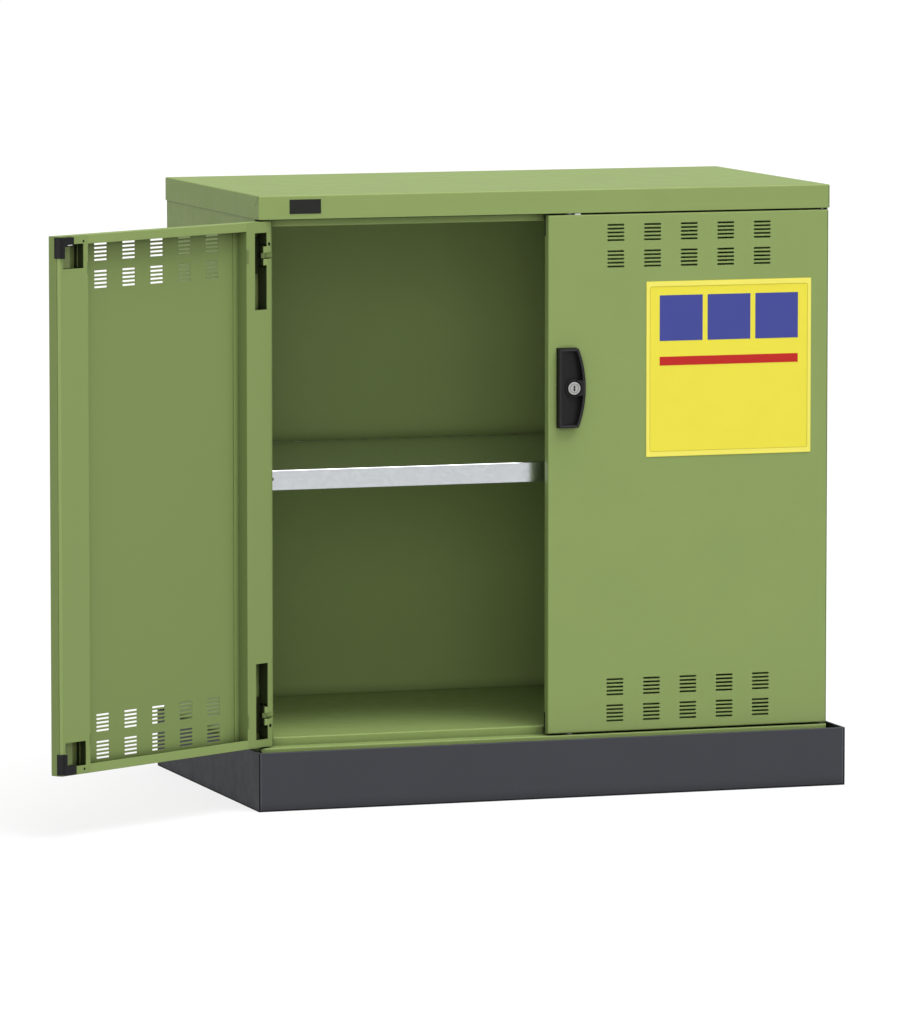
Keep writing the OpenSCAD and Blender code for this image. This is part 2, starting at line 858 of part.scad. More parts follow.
module free_stile() {
    wall = door_w - free_stile_w;
    tuck = door_w - door_sheet - seam;
    hole_end = door_w - stile_hole_in;
    difference() {
        column(door_z + door_sheet + seam, door_top - door_sheet - seam)
            polygon(folded([
                [wall - stile_foot, foot_face],
                [wall, foot_face],
                [wall, door_t],
                [door_w - free_bevel, door_t],
                [tuck, door_t - free_bevel + door_sheet],
                [tuck, door_t / 3]], -door_sheet));
        fold_room();
        for (z = [door_z + stile_hole_end, door_top - stile_hole_end - stile_hole_h])
            block([hole_end - stile_hole_w, door_inner - over, z],
                [hole_end, door_t + over, z + stile_hole_h]);
    }
}

// L-shaped buffers on the free corners, which meet the carcass when the door is closed
bumper_w = 30;
bumper_h = 34;
bumper_arm = 15;
bumper_side = 9;
bumper_inset = 2;
bumper_wrap = 0.8;
bumper_reach = door_space - door_t - 0.5;

module bumper_outline() {
    translate([door_w - bumper_w, -bumper_arm]) square([bumper_w - free_bevel, bumper_arm]);
    translate([door_w - bumper_side, -bumper_h]) square([bumper_side - free_bevel, bumper_h]);
}

module door_bumper() {
    plate_y(door_t, door_t + bumper_reach) bumper_outline();
    // The part that wraps round the bevel and onto the free edge
    column(-bumper_h, 0)
        polygon(folded([
            [door_w, door_t - free_bevel - 3.5],
            [door_w, door_t - free_bevel],
            [door_w - free_bevel, door_t],
            [door_w - free_bevel - 2, door_t]], -bumper_wrap));
    column(-bumper_h, 0)
        polygon([
            [door_w - free_bevel - eps, door_t],
            [door_w - free_bevel + bumper_wrap, door_t],
            [door_w - free_bevel - eps, door_t + bumper_reach]]);
}

module door_bumpers() {
    translate([0, 0, door_top - bumper_inset]) door_bumper();
    translate([0, 0, door_z + bumper_inset]) mirror([0, 0, 1]) door_bumper();
}

// The door's hinge leaf: a plate on the skin that carries the two outer knuckles
module hinge_leaf(z) {
    knuckle = (barrel_h - arm_h) / 2 - knuckle_gap;
    leaf_x = axis_in - hinge_plate / 2;
    difference() {
        union() {
            block([leaf_x, door_sheet, z - hinge_plate_h / 2],
                [leaf_x + leaf_w, door_sheet + hinge_plate, z + hinge_plate_h / 2]);
            for (side = [-1, 1])
                translate([0, 0, z + side * (arm_h / 2 + knuckle_gap + knuckle / 2)]) {
                    block([leaf_x, door_sheet + hinge_plate - eps, -knuckle / 2],
                        [leaf_x + hinge_plate, axis_back, knuckle / 2]);
                    translate([axis_in, axis_back, 0])
                        cylinder(h = knuckle, r = knuckle_r, center = true);
                }
        }
        translate([axis_in, axis_back, z])
            cylinder(h = barrel_h + 2, r = pin_r + pin_clear, center = true);
    }
}

module hinge_leaves() {
    hinge_leaf(low_hinge_z);
    hinge_leaf(high_hinge_z);
}

// A pin's collars rest on the barrel's ends
module hinge_pins() {
    collar_h = 1.5;
    for (z = [low_hinge_z, high_hinge_z])
        translate([axis_in, axis_back, z]) {
            cylinder(h = barrel_h + 2 * eps, r = pin_r, center = true);
            for (side = [-1, 1])
                translate([0, 0, side * (barrel_h + collar_h) / 2])
                    cylinder(h = collar_h, r = pin_r + 0.8, center = true);
        }
}

module left_door_skin() {
    color(green) on_left_door() door_skin();
}

module left_door_hinge_stile() {
    color(green) on_left_door() hinge_stile();
}

module left_door_free_stile() {
    color(green) on_left_door() free_stile();
}

module left_door_bumpers() {
    color(black) on_left_door() door_bumpers();
}

module left_door_hinge_leaves() {
    color(green) on_left_door() hinge_leaves();
}

module left_door_hinge_pins() {
    color(green) on_left_door() hinge_pins();
}

module right_door_skin() {
    color(green)
        difference() {
            on_right_door() door_skin();
            in_tray() lock_holes();
        }
}

module right_door_hinge_stile() {
    color(green) on_right_door() hinge_stile();
}

module right_door_free_stile() {
    color(green) on_right_door() free_stile();
}

module right_door_bumpers() {
    color(black) on_right_door() door_bumpers();
}

module right_door_hinge_leaves() {
    color(green) on_right_door() hinge_leaves();
}

module right_door_hinge_pins() {
    color(green) on_right_door() hinge_pins();
}

// ---- Hinge brackets on the carcass ----

// An arm reaches from the barrel past the front flange to a plate on the side panel
module hinge_bracket(z) {
    difference() {
        union() {
            column(z - arm_h / 2, z + arm_h / 2)
                union() {
                    translate([hinge_x, axis_back]) circle(r = knuckle_r);
                    translate([hinge_x, axis_back]) rotate(45)
                        translate([0, -hinge_plate / 2])
                            square([(arm_y + sheet + hinge_plate) * sqrt(2) - hinge_plate / 2,
                                hinge_plate]);
                    translate([wall_in, bracket_y])
                        square([arm_x - wall_in + hinge_plate, hinge_plate]);
                }
            block([wall_in, bracket_y, z - hinge_plate_h / 2],
                [wall_in + hinge_plate, bracket_y + 28, z + hinge_plate_h / 2]);
        }
        translate([hinge_x, axis_back, z])
            cylinder(h = barrel_h, r = pin_r + pin_clear, center = true);
        // Room for the inside of the side panel's fold
        block([wall_in - over, bracket_y - over, z - hinge_plate_h],
            [wall_in + bend_r - sheet + slip, bracket_y + bend_r - sheet + slip,
                z + hinge_plate_h]);
        bracket_screw_places()
            rotate([0, 90, 0]) cylinder(h = 3 * wall_in, r = bracket_screw_r + screw_clear);
    }
}

module hinge_bracket_left_lower() {
    color(green) in_tray() hinge_bracket(low_hinge_z);
}

module hinge_bracket_left_upper() {
    color(green) in_tray() hinge_bracket(high_hinge_z);
}

module hinge_bracket_right_lower() {
    color(green) in_tray() on_right() hinge_bracket(low_hinge_z);
}

module hinge_bracket_right_upper() {
    color(green) in_tray() on_right() hinge_bracket(high_hinge_z);
}

module hinge_bracket_screws() {
    module screws() {
        bracket_screw_places()
            translate([wall_in + hinge_plate, 0, 0]) mirror([1, 0, 0])
                screw_x(bracket_screw_r, hinge_plate + sheet, 4.6);
    }
    color(zinc) in_tray() {
        screws();
        on_right() screws();
    }
}

// ---- Handle and lock, drawn from the lock's axis at the door's front ----

module at_lock() {
    in_tray() translate([lock_x, 0, lock_z]) children();
}

// The handle's outline: straight on the left, bowed on the right
module handle_outline(inset, bow_inset) {
    bow = handle_w - handle_end_w;
    bow_r = (handle_h * handle_h / 4 + bow * bow) / (2 * bow);
    intersection() {
        translate([inset - handle_lock_in, inset - handle_h / 2])
            square([handle_w, handle_h - 2 * inset]);
        translate([handle_w - bow_r - handle_lock_in, 0])
            circle(r = bow_r - bow_inset, $fn = 180);
    }
}

boss_r = lock_r + 2.3;
skin_hole_r = lock_r + 0.3;

// The floor of the recess slopes from the straight edge down to the bowed rim
module handle_housing() {
    left = -handle_lock_in;
    ramp_end = handle_w - handle_rim + left;
    color(black) at_lock()
        difference() {
            plate_y(-handle_proud, 0) handle_outline(0, 0);
            difference() {
                intersection() {
                    plate_y(-handle_proud - over, 0) handle_outline(handle_rim, handle_rim);
                    column(-handle_h, handle_h)
                        polygon([
                            [left + handle_rim, -handle_proud],
                            [ramp_end, recess_depth - handle_proud],
                            [ramp_end, -handle_proud - over],
                            [left + handle_rim, -handle_proud - over]]);
                }
                rod_y(0, 0, boss_r + 2, -handle_proud - over, 0);
                block([0, -handle_proud - over, -boss_r], [handle_w, 0, boss_r]);
            }
            rod_y(0, 0, lock_r + screw_clear, -handle_proud - over, over);
            rod_y(0, 0, boss_r, -handle_proud - over, -handle_proud + 3);
            for (z = [-case_screw_z, case_screw_z])
                rod_y(case_screw_x, z, case_screw_r + screw_clear, -6, over);
        }
}

// Holes of the right door's skin for the cylinder, the case screws and the rod guides
module lock_holes() {
    translate([lock_x, 0, lock_z]) {
        rod_y(0, 0, skin_hole_r, -over, 3 * door_sheet);
        for (z = [-case_screw_z, case_screw_z])
            rod_y(case_screw_x, z, case_screw_r + screw_clear, -over, 3 * door_sheet);
    }
    for (z = [door_z, door_top])
        translate([lock_x, rod_back, z])
            cylinder(h = 4 * door_sheet, r = guide_r + screw_clear, center = true);
}

lock_front = handle_proud + 1.2;
lock_back = rod_back - pinion_t / 2 - slip;

module lock_cylinder() {
    color(zinc) at_lock()
        difference() {
            rod_y(0, 0, lock_r, -lock_front, lock_back);
            rod_y(0, 0, plug_r + pin_clear, -lock_front - over, lock_back + over);
        }
}

module lock_nut() {
    color(zinc) at_lock()
        difference() {
            translate([0, door_sheet, 0]) rotate([-90, 0, 0])
                cylinder(h = 4, r = (lock_r + 2.6) / cos(30), $fn = 6);
            rod_y(0, 0, lock_r + screw_clear, 0, door_t);
        }
}

shank_half = 2.5;
shank_clear = 0.05;

// The plug has a key slot in front and a square shank that drives the pinion
module lock_plug() {
    color(zinc) at_lock()
        difference() {
            union() {
                rod_y(0, 0, plug_r, -lock_front, lock_back);
                block([-shank_half, lock_back - eps, -shank_half],
                    [shank_half, lock_back + slip + pinion_t, shank_half]);
            }
            block([-0.9, -lock_front - over, -4.2], [0.9, -lock_front + 8, 4.2]);
            block([-1.6, -lock_front - over, -1.4], [1.6, -lock_front + 8, 0.6]);
        }
}

// Half the angle of a pinion tooth at a radius, from the involute of its base circle
function involute(a) = tan(a) - a * PI / 180;
base_r = pitch_r * cos(pressure);
tooth_half = (tooth_pitch / 2 - tooth_slack) / 2;
function half_angle(r) = tooth_half / pitch_r * 180 / PI
    + (involute(pressure) - involute(acos(min(1, base_r / r)))) * 180 / PI;
flank_steps = 4;
tip_r = pitch_r + tooth_module;
root_r = pitch_r - root_depth;
flank = [for (k = [0:flank_steps]) base_r + (tip_r - base_r) * k / flank_steps];
tooth = concat(
    [[root_r, -half_angle(base_r)]],
    [for (r = flank) [r, -half_angle(r)]],
    [for (r = reversed(flank)) [r, half_angle(r)]],
    [[root_r, half_angle(base_r)]]);

function polar(r, a) = r * [cos(a), sin(a)];

module lock_pinion() {
    outline = [
        for (k = [0:pinion_teeth - 1])
        each [for (p = tooth) polar(p[0], p[1] + k * 360 / pinion_teeth)]];
    hole = shank_half + shank_clear;
    color(zinc) at_lock()
        difference() {
            plate_y(rod_back - pinion_t / 2, rod_back + pinion_t / 2) polygon(outline);
            block([-hole, 0, -hole], [hole, door_t, hole]);
        }
}

// Outline of a rack beside the pinion: its teeth point to the axis
module rack_outline(first, last, shift, z0, z1) {
    tip = pitch_r - tooth_module;
    root = pitch_r + root_depth;
    tip_half = tooth_half - tooth_module * tan(pressure);
    root_half = tooth_half + root_depth * tan(pressure);
    difference() {
        translate([tip, z0]) square([rack_back - tip, z1 - z0]);
        // The spaces between the teeth
        for (k = [first:last]) {
            z = (k + shift) * tooth_pitch;
            polygon([
                [tip - eps, z - tooth_pitch / 2 + tip_half],
                [root, z - tooth_pitch / 2 + root_half],
                [root, z + tooth_pitch / 2 - root_half],
                [tip - eps, z + tooth_pitch / 2 - tip_half]]);
        }
        translate([0, (last + shift) * tooth_pitch]) square([root, z1]);
        translate([0, z0 - over]) square([root, (first + shift) * tooth_pitch - z0 + over]);
    }
}

// A rod: a rack beside the pinion, a bridge to the lock's line and a round bar in its guide
module rod_shape(shift, reach) {
    last = 2;
    first = last - ceil(rack_tail / tooth_pitch) - 3;
    y0 = rod_back - rack_t / 2;
    y1 = rod_back + rack_t / 2;
    plate_y(y0, y1) rack_outline(first, last, shift, -rack_tail - 3, bridge_z + bridge_h);
    block([-rod_r, y0, bridge_z], [rack_back, y1, bridge_z + bridge_h]);
    translate([0, rod_back, bridge_z]) cylinder(h = reach - bridge_z, r = rod_r);
}

rod_top = door_top + door_gap - lock_z - slip - 0.5;
rod_bottom = lock_z - door_z + door_gap - slip - 0.5;

module upper_rod() {
    color(zinc) at_lock() rod_shape(0, rod_top);
}

module lower_rod() {
    color(zinc) at_lock() rotate([0, 180, 0]) rod_shape(0.5, rod_bottom);
}

// A cover plate on two tubes keeps the racks in mesh
module lock_case() {
    wall = rack_back + slip;
    color(galvanised) at_lock()
        difference() {
            union() {
                block([-wall - case_sheet, case_back, -case_half],
                    [wall + case_sheet, case_back + case_sheet, case_half]);
                for (x = [-wall - case_sheet, wall])
                    block([x, rod_back - pinion_t / 2, -case_half + 16],
                        [x + case_sheet, case_back + eps, case_half - 16]);
                for (z = [-case_screw_z, case_screw_z])
                    rod_y(case_screw_x, z, case_screw_r + 1.4, door_sheet, case_back + eps);
            }
            for (z = [-case_screw_z, case_screw_z])
                rod_y(case_screw_x, z, case_screw_r + screw_clear, 0, door_t);
            rod_y(0, 0, shank_half * 2, case_back - over, door_t);
        }
}

// Two long screws go through the case and the skin into the handle
module lock_case_screws() {
    top = case_back + case_sheet;
    color(zinc) at_lock()
        for (z = [-case_screw_z, case_screw_z])
            translate([case_screw_x, top, z])
                rotate([0, 0, -90]) screw_x(case_screw_r, top + 5.5, 3.8);
}

// Flanged bushes in the right door's top and bottom edges
module rod_guides() {
    module guide() {
        translate([0, 0, -door_sheet - 2]) cylinder(h = 2, r = guide_r + 2);
        translate([0, 0, -door_sheet - 2]) cylinder(h = door_sheet + 2 + door_gap - slip, r = guide_r);
    }
    color(white) in_tray()
        difference() {
            union() {
                translate([lock_x, rod_back, door_top]) guide();
                translate([lock_x, rod_back, door_z]) mirror([0, 0, 1]) guide();
            }
            translate([lock_x, rod_back, door_z - 10])
                cylinder(h = door_h + 20, r = rod_r + rod_clear);
        }
}

// ---- Plain plates on the right door ----

notice_z = door_top - notice_drop - notice_size;

module notice_plate() {
    color(yellow) on_right_door()
        block([notice_in, -plate_t, notice_z],
            [notice_in + notice_size, 0, notice_z + notice_size]);
}

// A blank coloured field on the plate, placed in shares of the plate's side
module notice_field(x, z, w, h) {
    plate_y(-plate_t - field_t, -plate_t)
        translate([notice_in + x * notice_size, notice_z + z * notice_size])
            square([w * notice_size, h * notice_size]);
}

module notice_blue_fields() {
    color(blue) on_right_door()
        for (k = [0:2])
            notice_field(0.08 + 0.29 * k, 0.66, 0.26, 0.26);
}

module notice_red_field() {
    color(red) on_right_door() notice_field(0.08, 0.52, 0.84, 0.05);
}

spill_tray();
foot_pads();
foot_studs();
foot_nuts();
side_panel_left();
side_panel_right();
back_panel();
back_panel_screws();
floor_pan();
base_front();
base_rivets();
header_rail();
top_cover();
badge_plate();
upright_left_front();
upright_left_rear();
upright_right_front();
upright_right_rear();
shelf_clips();
shelf();
shelf_stiffener();
hinge_bracket_left_lower();
hinge_bracket_left_upper();
hinge_bracket_right_lower();
hinge_bracket_right_upper();
hinge_bracket_screws();
left_door_skin();
left_door_hinge_stile();
left_door_free_stile();
left_door_bumpers();
left_door_hinge_leaves();
left_door_hinge_pins();
right_door_skin();
right_door_hinge_stile();
right_door_free_stile();
right_door_bumpers();
right_door_hinge_leaves();
right_door_hinge_pins();
handle_housing();
lock_cylinder();
lock_nut();
lock_case();
lock_case_screws();
rod_guides();
notice_plate();
notice_blue_fields();
notice_red_field();
lock_plug();
lock_pinion();
upper_rod();
lower_rod();
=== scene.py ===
"""Looks of the two-door ventilated steel cabinet in its spill tray."""
import json
import math

import bmesh
import bpy
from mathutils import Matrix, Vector


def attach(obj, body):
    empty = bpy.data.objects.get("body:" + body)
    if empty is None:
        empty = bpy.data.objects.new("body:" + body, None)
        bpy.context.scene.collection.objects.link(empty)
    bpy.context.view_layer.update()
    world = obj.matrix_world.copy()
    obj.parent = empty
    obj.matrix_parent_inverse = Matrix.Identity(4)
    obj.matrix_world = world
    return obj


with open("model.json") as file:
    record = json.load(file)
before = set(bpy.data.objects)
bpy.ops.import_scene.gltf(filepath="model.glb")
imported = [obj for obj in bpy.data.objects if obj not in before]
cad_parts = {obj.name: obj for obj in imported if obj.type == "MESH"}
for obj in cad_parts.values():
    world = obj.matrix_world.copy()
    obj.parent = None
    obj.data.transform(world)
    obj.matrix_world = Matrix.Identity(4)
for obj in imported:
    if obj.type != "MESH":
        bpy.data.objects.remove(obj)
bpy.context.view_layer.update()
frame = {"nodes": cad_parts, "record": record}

MM = 0.001
NODES = frame["nodes"]
SCENE = bpy.context.scene


# ---- Camera: the photograph's own view, found by fitting the object's edges ----


# The picture's height and the focal length in pixels, the sensor in millimetres, the place and
# the reach in metres, and the angles in radians.
IMAGE_H = 1024
FOCAL_PX = 7682.3
SENSOR = 36.0
CAMERA_REACH = 100
CAMERA_AT = (-4.26737, -12.55208, 1.84866)
CAMERA_YAW = 0.32207
CAMERA_PITCH = -0.10434


def make_camera():
    data = bpy.data.cameras.new("camera")
    data.sensor_width = SENSOR
    data.lens = FOCAL_PX * SENSOR / IMAGE_H
    data.clip_end = CAMERA_REACH
    camera = bpy.data.objects.new("camera", data)
    SCENE.collection.objects.link(camera)
    camera.location = CAMERA_AT
    camera.rotation_euler = (math.pi / 2 + CAMERA_PITCH, 0, -CAMERA_YAW)
    SCENE.camera = camera


# ---- Node trees ----


# How far a surface looks around itself for the painted shade in crevices, in metres, and the open shares
# that count as none and all.
CREVICE_REACH = 0.04
CREVICE_CLOSED = 0.15
CREVICE_OPEN = 0.6
CREVICE_SAMPLES = 4

# The cosines between a rounded and a true normal that count as an edge and as a flat face.
EDGE_TURNED = 0.75
EDGE_FLAT = 0.995
EDGE_SAMPLES = 6

# The cosines between a normal and a way from which a face starts to look that way, and fully does.
FACING_SOME = 0.85
FACING_FULL = 0.95


class Tree:
    """Short names for building a material's node tree."""

    def __init__(self, material):
        self.nodes = material.node_tree.nodes
        self.links = material.node_tree.links
        self.shader = self.nodes.get("Principled BSDF")

    def add(self, kind, inputs=None, **settings):
        node = self.nodes.new(kind)
        for name, value in settings.items():
            setattr(node, name, value)
        for name, value in (inputs or {}).items():
            self.feed(node.inputs[name], value)
        return node

    def feed(self, socket, value):
        if isinstance(value, bpy.types.NodeSocket):
            self.links.new(value, socket)
        else:
            socket.default_value = value

    def place(self, scale=(1, 1, 1)):
        """The point on the object, in metres, stretched by scale."""
        coordinates = self.add("ShaderNodeTexCoord").outputs["Object"]
        return self.add("ShaderNodeMapping", {"Vector": coordinates, "Scale": scale}).outputs[0]

    def noise(self, scale, detail, rough, place=None):
        inputs = {"Vector": place or self.place(), "Scale": scale, "Detail": detail, "Roughness": rough}
        return self.add("ShaderNodeTexNoise", inputs).outputs["Fac"]

    def span(self, value, low, high, from_low=0.0, from_high=1.0):
        """value carried over from the span from_low to from_high to the span low to high."""
        inputs = {"Value": value, "From Min": from_low, "From Max": from_high,
                  "To Min": low, "To Max": high}
        return self.add("ShaderNodeMapRange", inputs).outputs[0]

    def mix(self, factor, a, b):
        """Colour a where factor is 0, and colour b where it is 1."""
        node = self.add("ShaderNodeMix", data_type="RGBA")
        self.feed(node.inputs[0], factor)
        self.feed(node.inputs[6], a)
        self.feed(node.inputs[7], b)
        return node.outputs[2]

    def math(self, operation, a, b):
        node = self.add("ShaderNodeMath", operation=operation)
        self.feed(node.inputs[0], a)
        self.feed(node.inputs[1], b)
        return node.outputs[0]

    def edge(self, radius):
        """A rounded normal, and how far it turns from the surface: 0 on a face, 1 on an edge."""
        normal = self.add("ShaderNodeBevel", {"Radius": radius}, samples=EDGE_SAMPLES).outputs[0]
        flat = self.add("ShaderNodeNewGeometry").outputs["Normal"]
        same = self.add("ShaderNodeVectorMath", {0: normal, 1: flat}, operation="DOT_PRODUCT")
        return normal, self.span(same.outputs["Value"], 1, 0, EDGE_TURNED, EDGE_FLAT)

    def facing(self, way, furthest):
        """1 on faces that look the given way and lie no further along it, 0 on all others."""
        point = self.add("ShaderNodeTexCoord").outputs
        same = self.add("ShaderNodeVectorMath", {0: point["Normal"], 1: way}, operation="DOT_PRODUCT")
        along = self.add("ShaderNodeVectorMath", {0: point["Object"], 1: way}, operation="DOT_PRODUCT")
        looks = self.span(same.outputs["Value"], 0, 1, FACING_SOME, FACING_FULL)
        near = self.span(along.outputs["Value"], 1, 0, furthest - MM, furthest + MM)
        return self.math("MULTIPLY", looks, near)

    def open_share(self):
        """1 where a surface lies open to the light, falling to 0 deep in a slot or a seam."""
        inputs = {"Distance": CREVICE_REACH}
        node = self.add("ShaderNodeAmbientOcclusion", inputs, samples=CREVICE_SAMPLES)
        return self.span(node.outputs["AO"], 0, 1, CREVICE_CLOSED, CREVICE_OPEN)

    def bump(self, height, distance, strength, normal=None):
        inputs = {"Height": height, "Distance": distance, "Strength": strength}
        node = self.add("ShaderNodeBump", inputs)
        if normal is not None:
            self.feed(node.inputs["Normal"], normal)
        return node.outputs[0]


def linear(red, green, blue):
    """A display colour, 0 to 255, as the linear colour that a shader takes."""
    shares = [c / 255 for c in (red, green, blue)]
    return tuple(s / 12.92 if s <= 0.04045 else ((s + 0.055) / 1.055) ** 2.4 for s in shares) + (1,)


def shade(colour, factor):
    """The colour made darker or brighter by a factor, no channel brighter than 1."""
    return tuple(min(1, c * factor) for c in colour[:3]) + (1,)


def new_material(name):
    material = bpy.data.materials.new(name)
    material.use_nodes = True
    return material, Tree(material)


# ---- Finishes: tones are shares of the finish's own colour, and lengths are in metres ----


# The rounding that finds edges and the painted highlight on them, and the share of the colour left by
# the painted shade in crevices.
COAT_EDGE_RADIUS = 0.0012
COAT_EDGE_HIGHLIGHT = 1.9
COAT_CREVICE_SHADE = 0.03


def powder_coat(name, colour, roughness, edge_highlight, grain=900, gloss=0.12, shaded_sides=()):
    """Satin powder coat: fine orange peel, faint mottling, a painted highlight along the edges and
    painted shade in slots, seams and corners.

    Each of the shaded sides is a way that some faces look, how bright the painted shade leaves
    them, and how far along that way it still lies, in metres of the row frame.
    """
    material, tree = new_material(name)
    tree.shader.inputs["Specular IOR Level"].default_value = gloss
    normal, edge = tree.edge(COAT_EDGE_RADIUS)
    mottle = tree.noise(scale=9, detail=5, rough=0.6)
    speck = tree.noise(scale=grain * 1.7, detail=2, rough=0.5)
    tone = tree.mix(mottle, shade(colour, 0.955), shade(colour, 1.045))
    speckled = tree.span(speck, low=0, high=0.16, from_low=0.35, from_high=0.75)
    tone = tree.mix(speckled, tone, shade(colour, 1.25))
    # Painted highlight: edges lighter, as where rounded edges catch the light.
    tone = tree.mix(tree.math("MULTIPLY", edge, edge_highlight), tone, shade(colour, COAT_EDGE_HIGHLIGHT))
    # Painted shade: faces that look one of the ways given are darkened to its share.
    for way, share, furthest in shaded_sides:
        tone = tree.mix(tree.facing(way, furthest), tone, shade(colour, share))
    # Painted shade: slots, seams and corners darken towards a near-black share of the colour.
    tone = tree.mix(tree.open_share(), shade(colour, COAT_CREVICE_SHADE), tone)
    tree.feed(tree.shader.inputs["Base Color"], tone)
    uneven = tree.noise(scale=40, detail=4, rough=0.6)
    dullness = tree.span(uneven, roughness - 0.05, roughness + 0.06, from_low=0.3, from_high=0.7)
    tree.feed(tree.shader.inputs["Roughness"], dullness)
    peel = tree.noise(scale=grain, detail=3, rough=0.55)
    relief = tree.bump(peel, distance=0.00005, strength=0.55, normal=normal)
    tree.feed(tree.shader.inputs["Normal"], relief)
    return material


DARK_EDGE_RADIUS = 0.0014
DARK_EDGE_SHARE = 0.8
DARK_EDGE_TONE = 0.15


def galvanised(name, colour):
    """Zinc-coated sheet: pale crystals, rolling lines, a satin sheen, and much darker along the edges.
    """
    material, tree = new_material(name)
    edge = tree.edge(DARK_EDGE_RADIUS)[1]
    cells = tree.add("ShaderNodeTexVoronoi", {"Vector": tree.place(), "Scale": 130.0}).outputs["Color"]
    crystal = tree.add("ShaderNodeSeparateColor", {"Color": cells}).outputs[0]
    rolled = tree.noise(scale=60, detail=3, rough=0.6, place=tree.place(scale=(0.15, 8, 8)))
    tone = tree.mix(crystal, shade(colour, 0.97), shade(colour, 1.03))
    streaks = tree.span(rolled, low=0, high=0.3, from_low=0.35, from_high=0.65)
    tone = tree.mix(streaks, tone, shade(colour, 0.95))
    dark_edge = tree.math("MULTIPLY", edge, DARK_EDGE_SHARE)
    tone = tree.mix(dark_edge, tone, shade(colour, DARK_EDGE_TONE))
    tree.feed(tree.shader.inputs["Base Color"], tone)
    tree.shader.inputs["Metallic"].default_value = 1.0
    tree.feed(tree.shader.inputs["Roughness"], tree.span(crystal, low=0.14, high=0.22))
    tree.feed(tree.shader.inputs["Normal"], tree.bump(crystal, distance=0.00003, strength=0.4))
    return material


PLATED_EDGE_RADIUS = 0.0004
PLATED_EDGE_SHARE = 0.5
PLATED_HIGHLIGHT_TONE = 1.3


def zinc(name, colour, roughness=0.34, metallic=0.9):
    """Bright plated steel with fine drawing lines, dull patches and a painted highlight along the edges.
    """
    material, tree = new_material(name)
    normal, edge = tree.edge(PLATED_EDGE_RADIUS)
    lines = tree.noise(scale=500, detail=2, rough=0.5, place=tree.place(scale=(1, 1, 0.04)))
    dull = tree.noise(scale=80, detail=4, rough=0.6)
    tone = tree.mix(dull, shade(colour, 0.86), shade(colour, 1.06))
    # Painted highlight: edges lighter, as where they catch the light.
    plated_highlight = tree.math("MULTIPLY", edge, PLATED_EDGE_SHARE)
    tone = tree.mix(plated_highlight, tone, shade(colour, PLATED_HIGHLIGHT_TONE))
    tree.feed(tree.shader.inputs["Base Color"], tone)
    tree.shader.inputs["Metallic"].default_value = metallic
    tree.feed(tree.shader.inputs["Roughness"], tree.span(dull, roughness - 0.07, roughness + 0.1))
    relief = tree.bump(lines, distance=0.00002, strength=0.4, normal=normal)
    tree.feed(tree.shader.inputs["Normal"], relief)
    return material


PLASTIC_GLOSS = 0.22
PLASTIC_EDGE_RADIUS = 0.0008
PLASTIC_EDGE_SHARE = 0.45
PLASTIC_HIGHLIGHT_TONE = 2.2
PLASTIC_CREVICE_SHADE = 0.2


def moulded(name, colour, roughness, grain=1400, depth=0.00006):
    """Injection-moulded plastic or rubber: fine leather grain, a painted highlight along the edges and
    painted shade in crevices.
    """
    material, tree = new_material(name)
    tree.shader.inputs["Specular IOR Level"].default_value = PLASTIC_GLOSS
    normal, edge = tree.edge(PLASTIC_EDGE_RADIUS)
    cells = tree.add("ShaderNodeTexVoronoi", {"Vector": tree.place(), "Scale": float(grain)})
    cloud = tree.noise(scale=30, detail=4, rough=0.6)
    tone = tree.mix(cloud, shade(colour, 0.85), shade(colour, 1.15))
    # Painted highlight: edges lighter, as where they catch the light.
    plastic_highlight = tree.math("MULTIPLY", edge, PLASTIC_EDGE_SHARE)
    tone = tree.mix(plastic_highlight, tone, shade(colour, PLASTIC_HIGHLIGHT_TONE))
    # Painted shade: crevices and seams darken towards a small share of the colour.
    tone = tree.mix(tree.open_share(), shade(colour, PLASTIC_CREVICE_SHADE), tone)
    tree.feed(tree.shader.inputs["Base Color"], tone)
    tree.feed(tree.shader.inputs["Roughness"], tree.span(cloud, roughness - 0.06, roughness + 0.06))
    relief = tree.bump(cells.outputs["Distance"], distance=depth, strength=0.6, normal=normal)
    tree.feed(tree.shader.inputs["Normal"], relief)
    return material


PRINT_GLOSS = 0.25


def printed(name, colour, roughness=0.3):
    """A printed, laminated sheet: even ink with a fine screen and a smooth gloss."""
    material, tree = new_material(name)
    tree.shader.inputs["Specular IOR Level"].default_value = PRINT_GLOSS
    cloud = tree.noise(scale=14, detail=4, rough=0.6)
    screen = tree.noise(scale=2600, detail=1, rough=0.5)
    tone = tree.mix(cloud, shade(colour, 0.96), shade(colour, 1.03))
    dots = tree.span(screen, low=0, high=0.12, from_low=0.4, from_high=0.7)
    tone = tree.mix(dots, tone, shade(colour, 1.15))
    tree.feed(tree.shader.inputs["Base Color"], tone)
    tree.feed(tree.shader.inputs["Roughness"], tree.span(cloud, roughness - 0.05, roughness + 0.08))
    waves = tree.noise(scale=220, detail=2, rough=0.5)
    tree.feed(tree.shader.inputs["Normal"], tree.bump(waves, distance=0.00003, strength=0.25))
    return material


# The left door at rest: how far it stands open, and the ways that its inner face and its free
# edge look. The right door is shut, so its inner face looks straight back.
LEFT_OPEN = math.radians(-150)
INWARD = (-math.sin(LEFT_OPEN), math.cos(LEFT_OPEN), 0)
FREE_EDGE = (math.cos(LEFT_OPEN), math.sin(LEFT_OPEN), 0)
BACKWARD = (0, 1, 0)

# How far along those ways the skins' inner faces still lie, in metres of the row frame, and a
# distance that leaves nothing out.
SKIN_INSIDE = -0.025
RIGHT_SKIN_INSIDE = -0.265
ANYWHERE = 10.0

